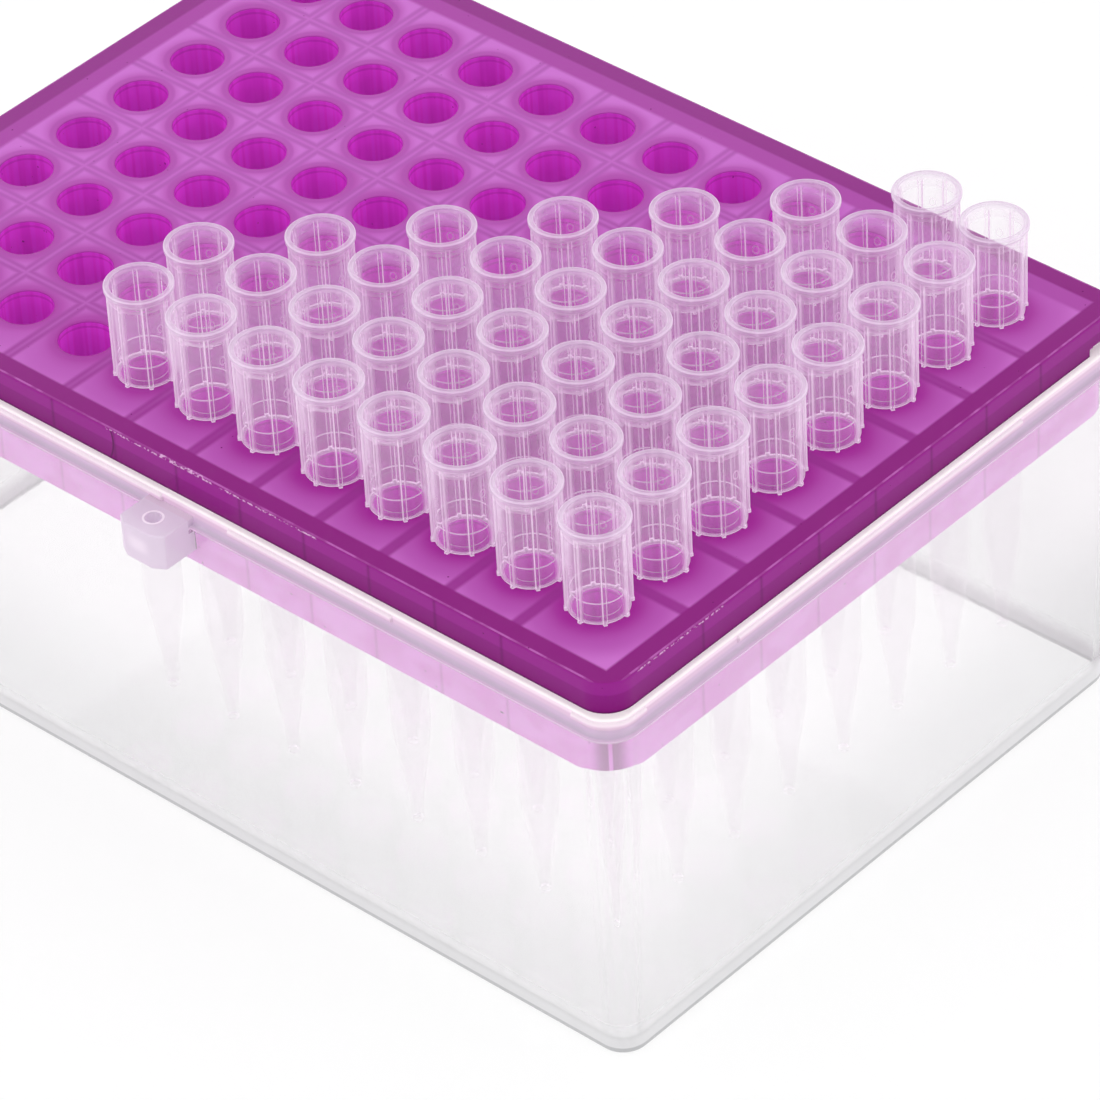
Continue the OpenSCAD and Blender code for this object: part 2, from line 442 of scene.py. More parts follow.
@dataclass(frozen=True)
class Lug:
    """Sizes of the lug in front: an open shell with a boss round its upright hole."""

    x: float = -0.5
    width: float = 6.4
    front: float = 47.1
    low: float = 40.7
    high: float = 45.1
    wall: float = 0.9
    chamfer: Flat = (1.4, 0.8)
    hole_y: float = 44.6
    hole_r: float = 0.9
    boss_r: float = 1.7
    boss_low: float = 42.0
    clear_of_lip: float = 42.7
    clear_of_wall: float = 42.0
    under_lip: float = 43.36
    points: int = 32
    rounding: float = 0.22
    crisp: float = 0.05
    front_fade: float = 0.2
    side_span: Flat = (0.05, 0.02)
    face_span: Flat = (0.9, 0.7)
    ring_span: Flat = (0.08, 0.25)
    ring_soft: float = 0.06
    ring_pale: float = 0.7
    boss_fade: float = 0.3
    boss_core: float = 0.4
    boss_inset: float = 0.9
    boss_soft: float = 1.1
    boss_pale: float = 0.35

    def plan(self, inset: float, back: float) -> list[Flat]:
        """Draw the plan.

        Args:
            inset: How far in from the outer faces.
            back: Distance from the middle of the tub at which it ends.

        Returns:
            Its corners in order.
        """
        half = self.width / 2 - inset
        front = -(self.front - inset)
        cut_x, cut_y = self.chamfer
        plan = [(-half, -back), (-half, front + cut_y), (cut_x - half, front)]
        plan += [(half - cut_x, front), (half, front + cut_y), (half, -back)]
        return [(x + self.x, y) for x, y in plan]

    def masks(self, bench: ShaderBench, x: Wire, y: Wire, z: Wire) -> tuple[Wire, Wire]:
        """Where the lug is, and where painted light shows its boss through the front wall and
        rings the edge of its hole.

        Args:
            bench: The tree under way.
            x: Place along the length.
            y: Place across.
            z: Height.

        Returns:
            Two masks of 0 to 1.
        """
        in_front = y.step(-self.clear_of_lip, -self.clear_of_lip - self.front_fade)
        off_axis = abs(x - self.x)
        beside = off_axis.rise(self.width / 2, self.side_span)
        under = beside * z.step(self.under_lip, self.under_lip - self.crisp)
        off_wall = y.step(-self.clear_of_wall, -self.clear_of_wall - self.crisp)
        on_lug = in_front | under * off_wall
        # Painted light ringing the hole and showing the boss through the front wall.
        from_hole = bench.across(off_axis, y + self.hole_y)
        ring = from_hole.band(self.hole_r, self.ring_span, self.ring_soft)
        before = off_axis.step(self.boss_r + self.boss_fade, self.boss_core)
        top = self.high - self.wall - self.boss_inset
        height = z.between(self.boss_low + self.boss_inset, top, self.boss_soft)
        behind = before * height * y.rise(-self.front, self.face_span)
        return on_lug, ring.scaled(0.0, self.ring_pale) | behind.scaled(0.0, self.boss_pale)


@dataclass(frozen=True)
class VeilPlastic:
    """Milky polypropylene: a veil on each face, over a straight or a bent view through it.

    A veil above the glow threshold also glows: painted light that stands in for the light the
    plastic carries.
    """

    name: str
    colour: Colour
    veil: float
    bends: bool = False
    layers: tuple[Layer, ...] = ()
    lug: Lug | None = None
    lug_colour: Colour = linear(214, 199, 216)
    lug_veil: float = 0.76
    boss_painted_light: Colour = linear(252, 240, 250)
    roughness: float = 0.05
    uneven_roughness: float = 0.02
    grain_size: float = 0.5
    grain_strength: float = 0.2
    grain_step: float = 0.01
    cloud_size: Point = (9.0, 9.0, 14.0)
    cloud: float = 0.03
    painted_glow: float = 0.32
    painted_glow_from: float = 0.1
    marks: tuple[Point, ...] = ()
    mark_size: Point = (0.42, 0.42, 0.6)
    mark_band: Flat = (0.75, 0.85)
    mark_soft: float = 0.2
    mark_veil: float = 0.14
    thickest: float = 0.98
    flattest: float = 0.1

    def material(self) -> Material:
        """Lay out the plastic from object coordinates.

        Returns:
            The finished material. Where a mesh has an extra veil on its points, it adds to the
            veil; on the tips it paints highlight lines.
        """
        bench = ShaderBench(bpy.data.materials.new(self.name))
        where, (x, y, z) = bench.place()
        colour: Tint = self.colour
        veil: Value = self.veil
        for layer in self.layers:
            above = z.step(layer.z - layer.soft, layer.z + layer.soft)
            colour = bench.mix(above, colour, layer.colour)
            veil = bench.blend(above, veil, layer.veil)
        if self.lug is not None:
            on_lug, boss = self.lug.masks(bench, x, y, z)
            colour = bench.mix(on_lug, colour, bench.mix(boss, self.lug_colour, self.boss_painted_light))
            veil = bench.blend(on_lug, veil, self.lug_veil)
        clouds = bench.noise(where, self.cloud_size, 1.0)
        veil = veil + clouds.scaled(-self.cloud, self.cloud) + bench.attribute("veil_and_highlight")
        for mark in self.marks:
            outline = bench.reach(where, mark, self.mark_size)
            outline = outline.between(*self.mark_band, self.mark_soft)
            veil = veil + outline.scaled(0.0, self.mark_veil)
        veil = (veil | 0.0).at_most(self.thickest)
        uneven = self.uneven_roughness
        inputs: dict[str, Source] = {
            "Base Color": colour,
            "Roughness": clouds.scaled(self.roughness - uneven, self.roughness + uneven),
            "IOR": PLASTIC_IOR,
            "Emission Color": colour,
            # Painted glow: the veil gives off light as if lit from within.
            "Emission Strength": (veil - self.painted_glow_from) * self.painted_glow | 0.0,
        }
        if self.bends:
            grain = bench.noise(where, self.grain_size, 1.0)
            inputs["Normal"] = bench.bump(grain, self.grain_strength, self.grain_step)
            inputs["Transmission Weight"] = 1.0 - veil
        else:
            slant = Wire(bench, bench.node("ShaderNodeLayerWeight").outputs["Facing"])
            depth = 1.0 / ((1.0 - slant) | self.flattest)
            inputs["Alpha"] = 1.0 - (1.0 - veil) ** depth
        return bench.finish(bench.node("ShaderNodeBsdfPrincipled", inputs).outputs[0])


@dataclass(frozen=True)
class InnerFace:
    """Inner faces of a clear piece: no veil, only a faint uneven tint."""

    name: str
    bends: bool
    thin: Colour = (0.995, 0.99, 0.995)
    thick: Colour = (0.975, 0.96, 0.975)
    cloud_size: Point = (8.0, 8.0, 20.0)

    def material(self) -> Material:
        """Lay out the finish, as smooth glass where the view bends.

        Returns:
            The finished material.
        """
        bench = ShaderBench(bpy.data.materials.new(self.name))
        where, _ = bench.place()
        tint = bench.mix(bench.noise(where, self.cloud_size, 1.0), self.thin, self.thick)
        if not self.bends:
            clear = bench.node("ShaderNodeBsdfTransparent", {"Color": tint})
            return bench.finish(clear.outputs[0])
        inputs = {"Base Color": tint, "Roughness": 0.0, "IOR": PLASTIC_IOR}
        inputs["Transmission Weight"] = 1.0
        return bench.finish(bench.node("ShaderNodeBsdfPrincipled", inputs).outputs[0])


@dataclass(frozen=True)
class RackSpot:
    """A place on the rack as its shader sees it; margins run beyond the outermost wells."""

    where: NodeSocket
    x: Wire
    y: Wire
    z: Wire
    margin_x: Wire
    margin_y: Wire
    margin: Wire


@dataclass(frozen=True)
class PurplePlastic:
    """Purple see-through plastic, paler with painted light where the plate is thin, with painted
    shade over the ribs, darker over the solid edge, and a painted glow in the wells.
    """

    name: str
    pitch: float
    half_x: float
    half_y: float
    top: float
    plate_t: float
    flange_z: float
    flange_margin: float
    edge_inner: float
    skirt_t: float
    skirt_r: float
    sleeve_r: float
    well_r: float
    # The top's colours: near the wells and over the ribs they are painted shade; towards the cell
    # corners, along the rib cores and on the far side they are painted light.
    shaded_near_well: Colour = linear(168, 38, 155)
    cell: Colour = linear(191, 88, 187)
    corner: Colour = linear(216, 123, 216)
    lit_far_cell: Colour = linear(218, 124, 222)
    strip: Colour = linear(148, 34, 134)
    lit_far_strip: Colour = linear(160, 62, 152)
    lit_far_border: Colour = linear(184, 82, 180)
    rib: Colour = linear(158, 46, 148)
    lit_far_rib: Colour = linear(190, 98, 192)
    lit_rib_core: Colour = linear(214, 118, 216)
    ring: Colour = linear(186, 88, 186)
    # The wells are painted bright for the light that their thin sleeves pass, with a painted shade
    # line under their top.
    well: Colour = linear(255, 84, 250)
    well_dark: Colour = linear(240, 66, 232)
    well_shade_line: Colour = linear(168, 26, 160)
    painted_well_glow_colour: Colour = linear(255, 84, 250)
    # Painted highlight line, with glints, along the plate's top edge.
    edge_highlight: Colour = linear(196, 104, 190)
    flash: Colour = linear(250, 206, 246)
    # The band is painted light along the plate's thickness; the side darkens towards the foot as
    # painted shade; the foot colour is a painted shade line at the flange's foot and on rib marks
    # seen through, and also the colour of the real knit line and specks.
    band: Colour = linear(158, 34, 148)
    side: Colour = linear(143, 22, 132)
    shaded_side_low: Colour = linear(134, 6, 120)
    foot: Colour = linear(100, 4, 92)
    skirt: Colour = linear(255, 150, 254)
    skirt_dark: Colour = linear(246, 126, 240)
    roughness: float = 0.22
    uneven_roughness: float = 0.04
    grain_size: float = 0.6
    grain_strength: float = 0.2
    grain_step: float = 0.01
    glow: float = 0.1
    well_glow: float = 0.5
    painted_well_glow: float = 0.17
    specular: float = 0.14
    shade: Colour = (0.85, 0.66, 0.84)
    outermost: Flat = (9.0, 9.2)
    long_flash: Flat = (-10.0, 19.5)
    short_flash: Flat = (-36.5, -24.0)
    flash_w: float = 0.08
    flash_soft: float = 0.03
    flash_fade: float = 0.5
    flash_share: float = 0.7
    flash_depth: Flat = (-0.28, -0.22)
    torn_size: Point = (0.35, 0.35, 0.2)
    torn_span: Flat = (0.44, 0.6)
    chips: tuple[Flat, Flat] = ((-2.2, -0.3), (1.0, 3.6))
    chip_w: float = 0.22
    chip_fade: float = 0.3
    knit_x: Flat = (-9.2, -9.1)
    knit_middle: float = 2.4
    knit_bend: float = 0.12
    knit_soft: float = 0.12
    near_spans: tuple[Flat, Flat] = ((3.2, 6.5), (6.0, 10.0))
    far_spread: Flat = (3.0, 5.0)
    border: Flat = (-2.6, -1.9)
    away_span: Flat = (-50.0, 45.0)
    patch_size: float = 11.0
    ring_span: Flat = (0.1, 0.25)
    ring_soft: float = 0.3
    ring_share: float = 0.6
    rib_span: Flat = (-1.0, -0.4)
    rib_share: float = 0.9
    grid_fade: float = 0.2
    core_span: Flat = (-0.4, 0.05)
    core_share: float = 0.8
    core_share_flank: float = 0.5
    core_share_skirt: float = 0.3
    strip_span: Flat = (-0.25, 0.15)
    line_span: Flat = (-0.3, -0.16)
    line_soft: float = 0.06
    glint_size: float = 2.2
    glint_span: Flat = (0.4, 0.62)
    dullest_glint: float = 0.3
    blotch_size: Point = (5.0, 5.0, 3.0)
    blotch_span: Flat = (0.35, 0.65)
    streak_size: Point = (0.8, 0.8, 40.0)
    skirt_face: Flat = (-0.2, -0.1)
    flange_under: Flat = (0.02, -0.02)
    corner_shade_from: Flat = (0.03, 0.06)
    corner_shade_to: Flat = (0.5, 0.1)
    corner_shade_share: float = 0.8
    plate_span: Flat = (-0.2, 0.1)
    foot_span: Flat = (0.35, 0.1)
    well_edge: Flat = (0.12, 0.04)
    top_edge: Flat = (-0.2, -0.05)
    well_line_depth: Flat = (-0.75, -0.6)
    well_line_soft: float = 0.12
    well_line_share: float = 0.35
    speck_size: float = 0.42
    speck_span: Flat = (0.865, 0.885)

    def spot(self, bench: ShaderBench) -> RackSpot:
        """Find where on the rack a point lies.

        Args:
            bench: The tree under way.

        Returns:
            The place.
        """
        where, (x, y, z) = bench.place()
        margin_x, margin_y = abs(x) - self.half_x, abs(y) - self.half_y
        return RackSpot(where, x, y, z, margin_x, margin_y, margin_x | margin_y)

    def axes(self, spot: RackSpot) -> tuple[tuple[Wire, float], ...]:
        """Place along each axis, with the distance of its last line of wells."""
        return (spot.x, self.half_x), (spot.y, self.half_y)

    def nearest(self, along: Wire, half: float) -> Wire:
        """Measure along one axis from the nearest line of wells.

        Args:
            along: Place along the axis.
            half: Distance of the last line from the middle.

        Returns:
            The signed distance.
        """
        counted = (along + half) / self.pitch
        number = counted.rounded().at_most(2 * half / self.pitch) | 0.0
        return (counted - number) * self.pitch

    def rib_mask(self, along: Wire, half: float, span: Flat) -> Wire:
        """Find the ribs halfway between two lines of wells, but not outside the grid.

        Args:
            along: Place along the axis that the ribs stand across.
            half: Distance of the last line of wells from the middle.
            span: Where the mask starts and where it is full, from the middle of a rib.

        Returns:
            1 over a rib and 0 elsewhere.
        """
        over = abs(self.nearest(along, half)).rise(self.pitch / 2, span)
        return over * abs(along).step(half + self.grid_fade, half)

    def flash_mask(self, spot: RackSpot, torn: Wire) -> Wire:
        """Find the rough pale lines left along two stretches of the plate's top edge.

        Args:
            spot: The place.
            torn: Fine noise that breaks the lines up.

        Returns:
            1 on the lines and 0 elsewhere, for the height of the edge only.
        """
        x, y = spot.x, spot.y
        long_line = self.on_front(y) * x.between(*self.long_flash, self.flash_fade)
        first, second = (x.between(*chip, self.chip_fade) for chip in self.chips)
        wide = ((first | second) * long_line).scaled(0.0, self.chip_w)
        end = x.rise(self.half_x, self.outermost)
        short_line = end * y.between(*self.short_flash, self.flash_fade)
        past = spot.margin - (self.flange_margin - self.flash_w - wide)
        near = past.step(-self.flash_soft, self.flash_soft)
        return (long_line | short_line) * near * torn.step(*self.torn_span)

    def on_front(self, y: Wire) -> Wire:
        """1 on the long flank in front, 0 elsewhere."""
        return y.step(*(-self.half_y - margin for margin in self.outermost))

    def knit_mask(self, spot: RackSpot) -> Wire:
        """1 on one curved flow line down the long flank in front, 0 elsewhere."""
        sag = (spot.z - (self.flange_z + self.knit_middle)) ** 2.0 * self.knit_bend
        return (spot.x + sag).between(*self.knit_x, self.knit_soft) * self.on_front(spot.y)

    def top_colour(
        self, bench: ShaderBench, spot: RackSpot, from_well: Wire, cores: Wire
    ) -> Wire:
        """Colour the plate with painted light and shade: painted shade near the wells and over the
        ribs, painted light towards the cell corners, along the rib cores and towards the far
        corner, and a painted highlight along the edge.

        Args:
            bench: The tree under way.
            spot: The place.
            from_well: Distance from the nearest well's centre.
            cores: 1 along the middle of the ribs.

        Returns:
            The colour of the top.
        """
        mix, margin = bench.mix, spot.margin
        rib_x, rib_y = (self.rib_mask(v, half, self.rib_span) for v, half in self.axes(spot))
        # This mask grows towards the far corner, where the plate takes painted light.
        away = (spot.y - spot.x).step(*self.away_span)
        out = from_well + bench.noise(spot.where, self.patch_size, 2.0).scaled(-1.0, 1.0)
        # Painted shade near the wells and painted light towards the cell corners.
        inner, outer = (out.step(*span) for span in self.near_spans)
        near = mix(outer, mix(inner, self.shaded_near_well, self.cell), self.corner)
        face = mix(away, near, mix(out.step(*self.far_spread), self.cell, self.lit_far_cell))
        ring = from_well.band(self.sleeve_r, self.ring_span, self.ring_soft)
        face = mix(ring * away.scaled(0.0, self.ring_share), face, self.ring)
        # Painted shade over the ribs, and painted light along their cores.
        face = mix((rib_x | rib_y) * self.rib_share, face, mix(away, self.rib, self.lit_far_rib))
        face = mix(cores * away.scaled(0.0, self.core_share), face, self.lit_rib_core)
        # Painted light along the far borders.
        past = (spot.x * -1.0 - self.half_x) | (spot.y - self.half_y)
        behind = past.rise(self.edge_inner, self.border)
        face = mix(behind, face, self.lit_far_border)
        on_strip = margin.rise(self.edge_inner, self.strip_span)
        face = mix(on_strip, face, mix(away, self.strip, self.lit_far_strip))
        # Painted highlight line with glints along the top edge.
        line = margin.band(self.flange_margin, self.line_span, self.line_soft)
        glints = bench.noise(spot.where, self.glint_size, 3.0).step(*self.glint_span)
        return mix(line * glints.scaled(self.dullest_glint, 1.0), face, self.edge_highlight)

    def skirt_colour(self, bench: ShaderBench, spot: RackSpot, cores: Wire) -> tuple[Wire, Wire]:
        """Colour the skirt, which looks pale through the tub, with painted shade over the ribs
        behind it and either side of its corners.

        Args:
            bench: The tree under way.
            spot: The place.
            cores: 1 along the middle of the ribs.

        Returns:
            The colour, and 1 on the skirt's outer face and 0 elsewhere.
        """
        blotches = bench.noise(spot.where, self.blotch_size, 1.0).step(*self.blotch_span)
        skirt = bench.mix(blotches, self.skirt, self.skirt_dark)
        # Painted shade where ribs stand behind the skirt.
        skirt = bench.mix(cores * self.core_share_skirt, skirt, self.side)
        centre = self.edge_inner + self.skirt_t - self.skirt_r
        over_x, over_y = (m - centre | 0.0 for m in (spot.margin_x, spot.margin_y))
        reach = bench.across(over_x, over_y)
        outside = reach.rise(self.skirt_r, self.skirt_face)
        under_flange = spot.z.rise(self.flange_z, self.flange_under)
        # Painted shade either side of the corner line.
        turn = abs(bench.maths("ARCTAN2", over_y, over_x) - math.pi / 4)
        thick = turn.step(*self.corner_shade_from) * turn.step(*self.corner_shade_to)
        return bench.mix(thick * self.corner_shade_share, skirt, self.side), under_flange * outside

    def flank_colour(
        self, bench: ShaderBench, spot: RackSpot, in_well: Wire, cores: Wire
    ) -> Wire:
        """Colour the flange, the skirt and the inside of the wells, with painted light and shade.

        Args:
            bench: The tree under way.
            spot: The place.
            in_well: 1 inside a well.
            cores: 1 along the middle of the ribs.

        Returns:
            The colour of all that is not the top.
        """
        mix, z, under_plate = bench.mix, spot.z, self.top - self.plate_t
        # Painted light on the band along the plate's thickness, painted shade towards the foot and
        # a dark painted line at it.
        plate = z.rise(under_plate, self.plate_span)
        foot = z.rise(self.flange_z, self.foot_span)
        side = mix(z.step(self.flange_z, under_plate), self.shaded_side_low, self.side)
        flank = mix(plate, mix(foot, side, self.foot), self.band)
        # Painted shade where ribs stand behind the flank.
        flank = mix(cores * self.core_share_flank, flank, self.foot)
        flank = mix(self.knit_mask(spot), flank, self.foot)
        skirt, on_skirt = self.skirt_colour(bench, spot, cores)
        flank = mix(on_skirt, flank, skirt)
        # Wells painted bright and streaky, with a painted shade line under the top.
        streaks = bench.noise(spot.where, self.streak_size, 1.0).step(*self.blotch_span)
        inside = mix(streaks, self.well, self.well_dark)
        line = z.band(self.top, self.well_line_depth, self.well_line_soft) * self.well_line_share
        return mix(in_well, flank, mix(line, inside, self.well_shade_line))

    def colour(self, bench: ShaderBench, spot: RackSpot) -> tuple[Wire, Wire]:
        """Colour the whole rack, with its flaws.

        Args:
            bench: The tree under way.
            spot: The place.

        Returns:
            The colour, and 1 inside a well and 0 elsewhere.
        """
        from_well = bench.across(*(self.nearest(v, half) for v, half in self.axes(spot)))
        core_x, core_y = (self.rib_mask(v, half, self.core_span) for v, half in self.axes(spot))
        cores = core_x | core_y
        in_well = from_well.rise(self.well_r, self.well_edge)
        flank = self.flank_colour(bench, spot, in_well, cores)
        face = self.top_colour(bench, spot, from_well, cores)
        colour = bench.mix(spot.z.rise(self.top, self.top_edge), flank, face)
        flash = self.flash_mask(spot, bench.noise(spot.where, self.torn_size, 2.0))
        on_edge = spot.z.rise(self.top, self.flash_depth).scaled(0.0, self.flash_share)
        colour = bench.mix(flash * on_edge, colour, self.flash)
        specks = bench.noise(spot.where, self.speck_size, 0.0).step(*self.speck_span)
        return bench.mix(specks, colour, self.foot), in_well

    def material(self) -> Material:
        """Lay out the plastic from object coordinates.

        Returns:
            The finished material.
        """
        bench = ShaderBench(bpy.data.materials.new(self.name))
        spot = self.spot(bench)
        colour, in_well = self.colour(bench, spot)
        grain = bench.noise(spot.where, self.grain_size, 2.0)
        uneven = self.uneven_roughness
        inputs = {
            "Base Color": colour,
            "Roughness": grain.scaled(self.roughness - uneven, self.roughness + uneven),
            "Normal": bench.bump(grain, self.grain_strength, self.grain_step),
            "IOR": PLASTIC_IOR,
            "Specular IOR Level": self.specular,
            # Painted glow in the wells, for the light that the thin sleeves pass.
            "Emission Color": self.painted_well_glow_colour,
            "Emission Strength": in_well.scaled(0.0, self.painted_well_glow),
        }
        skin = bench.node("ShaderNodeBsdfPrincipled", inputs).outputs[0]
        through = bench.node("ShaderNodeBsdfTranslucent", {"Color": colour}).outputs[0]
        glow = bench.blend(in_well, self.glow, self.well_glow)
        return bench.finish(bench.lets_light_by(bench.either(glow, skin, through), self.shade))


@dataclass(frozen=True)
class StudioPaper:
    """Pale floor that shows white to the camera and still takes the object's shadow."""

    name: str = "studio_paper"
    shade: Colour = (0.9, 0.9, 0.9)
    own_light: float = 0.74
    paper_share: float = 0.32
    fibre_share: float = 0.98
    fibre_size: float = 2.0

    def material(self) -> Material:
        """Lay out paper with a lift that only camera, mirror and see-through rays pick up.

        Returns:
            The finished material.
        """
        bench = ShaderBench(bpy.data.materials.new(self.name))
        rays = bench.node("ShaderNodeLightPath").outputs
        mirrored = Wire(bench, rays["Is Glossy Ray"]) | Wire(bench, rays["Is Transmission Ray"])
        where, _ = bench.place()
        fibre = bench.noise(where, self.fibre_size, 1.0)
        darker = tuple(self.fibre_share * c for c in self.shade)
        colour = bench.mix(fibre, self.shade, darker)
        paper = bench.node("ShaderNodeBsdfDiffuse", {"Color": colour}).outputs[0]
        dimmed = bench.node("ShaderNodeMixShader", {0: self.paper_share, 2: paper}).outputs[0]
        lift = bench.node("ShaderNodeEmission", {"Strength": self.own_light}).outputs[0]
        lifted = bench.node("ShaderNodeAddShader", {0: dimmed, 1: lift}).outputs[0]
        white = bench.node("ShaderNodeEmission").outputs[0]
        shown = bench.either(rays["Is Camera Ray"], paper, lifted)
        return bench.finish(bench.either(mirrored, shown, white))


class Shell:
    """Points and faces of one closed mesh while they are gathered, in millimetres.

    Faces whose points are all marked CLEAR take the second material.
    """

    def __init__(self) -> None:
        """Start with nothing."""
        self.points: list[Point] = []
        self.veil_and_highlight: list[float] = []
        self.faces: list[tuple[int, ...]] = []

    def ring(self, points: Iterable[Point], veil_and_highlight: float | Sequence[float] = 0.0) -> list[int]:
        """Add points and return their numbers.

        Args:
            points: Places in millimetres.
            veil_and_highlight: Extra veil at all of them, or one number for each.

        Returns:
            The numbers of the new points, in order.
        """
        start = len(self.points)
        self.points.extend(points)
        count = len(self.points) - start
        self.veil_and_highlight.extend([veil_and_highlight] * count if isinstance(veil_and_highlight, float) else veil_and_highlight)
        return list(range(start, start + count))

    def band(self, first: Sequence[int], second: Sequence[int]) -> None:
        """Join two closed rings with a strip of quads.

        Args:
            first: One ring.
            second: The other, with as many points.
        """
        count = len(first)
        for k in range(count):
            after = (k + 1) % count
            self.faces.append((first[k], first[after], second[after], second[k]))

    def loft(self, rings: Sequence[Sequence[int]]) -> None:
        """Join each ring with the one after it."""
        for first, second in zip(rings, rings[1:]):
            self.band(first, second)

    def cap(self, ring: Sequence[int]) -> None:
        """Close a ring with one face."""
        self.faces.append(tuple(ring))

    def mesh(self, name: str, sharp: float) -> Mesh:
        """Make the mesh, with outward faces and smooth shading.

        Args:
            name: Name of the mesh.
            sharp: Edges that turn by more than this many degrees stay sharp.

        Returns:
            The mesh, in metres.
        """
        made = bpy.data.meshes.new(name)
        made.from_pydata([tuple(MM * c for c in p) for p in self.points], [], self.faces)
        store = made.attributes.new("veil_and_highlight", "FLOAT", "POINT")
        store.data.foreach_set("value", self.veil_and_highlight)
        tidy = bmesh.new()
        tidy.from_mesh(made)
        for face in tidy.faces:
            face.material_index = int(all(self.veil_and_highlight[v.index] <= CLEAR for v in face.verts))
        bmesh.ops.recalc_face_normals(tidy, faces=tidy.faces)
        tidy.to_mesh(made)
        tidy.free()
        smooth(made, sharp)
        return made


def smooth(mesh: Mesh, sharp: float) -> None:
    """Shade a mesh smooth, apart from edges that turn by more than sharp degrees."""
    mesh.shade_smooth()
    mesh.set_sharp_from_angle(angle=math.radians(sharp))


def show(name: str, mesh: Mesh, material: Material | None = None) -> Object:
    """Put a mesh in the scene.

    Args:
        name: Name of the object.
        mesh: Its mesh.
        material: Material to add, where the mesh has none of its own.

    Returns:
        The new object.
    """
    made = bpy.data.objects.new(name, mesh)
    bpy.context.scene.collection.objects.link(made)
    if material is not None:
        mesh.materials.append(material)
    return made


def shaped(target: Object, kind: str, **settings: object) -> Object:
    """Apply one modifier to an object's mesh.

    Args:
        target: The object, which keeps its name.
        kind: Blender's name for the modifier.
        settings: Its properties by name.

    Returns:
        The same object with the changed mesh.
    """
    step = target.modifiers.new(kind.lower(), kind)
    for key, value in settings.items():
        setattr(step, key, value)
    depsgraph = bpy.context.evaluated_depsgraph_get()
    old = target.data
    shown = target.evaluated_get(depsgraph)
    target.data = bpy.data.meshes.new_from_object(shown, depsgraph=depsgraph)
    target.modifiers.clear()
    bpy.data.meshes.remove(old)
    return target


def keep_flat(target: Object) -> None:
    """Let an object's flat faces shade flat between its rounded edges."""
    target.modifiers.new(FLAT_FACES, "WEIGHTED_NORMAL").keep_sharp = True


def joined(target: Object, tool: Object, operation: str) -> Object:
    """Unite a tool with an object or cut it out, and remove the tool.

    Args:
        target: The object that stays.
        tool: The object that is used up.
        operation: Blender's name for what happens.

    Returns:
        The target.
    """
    shaped(target, "BOOLEAN", object=tool, operation=operation, solver="EXACT")
    leftover = tool.data
    bpy.data.objects.remove(tool)
    bpy.data.meshes.remove(leftover)
    return target


def arc(centre: Flat, radius: float, start: float, end: float, steps: int) -> list[Flat]:
    """Points of an arc from start to end degrees, both ends included."""
    turns = [math.radians(start + (end - start) * k / steps) for k in range(steps + 1)]
    return [(centre[0] + radius * math.cos(t), centre[1] + radius * math.sin(t)) for t in turns]


def prism(name: str, plan: Sequence[Flat], low: float, high: float, bevel: float = 0.0) -> Object:
    """An upright solid over a plan, with its edges rounded.

    Args:
        name: Name of the object.
        plan: Corners in order.
        low: Height of its underside.
        high: Height of its top.
        bevel: Radius of the rounding, none at 0.

    Returns:
        The new object.
    """
    shell = Shell()
    lower = shell.ring([(x, y, low) for x, y in plan])
    upper = shell.ring([(x, y, high) for x, y in plan])
    shell.band(lower, upper)
    shell.cap(lower)
    shell.cap(upper)
    made = show(name, shell.mesh(name, PLAIN_SHARP))
    if bevel:
        shaped(made, "BEVEL", width=bevel * MM, segments=3, limit_method="ANGLE")
    return made


def circle(centre: Flat, radius: float, count: int) -> list[Flat]:
    """Points evenly round a circle."""
    return arc(centre, radius, 0.0, 360.0, count)[:-1]


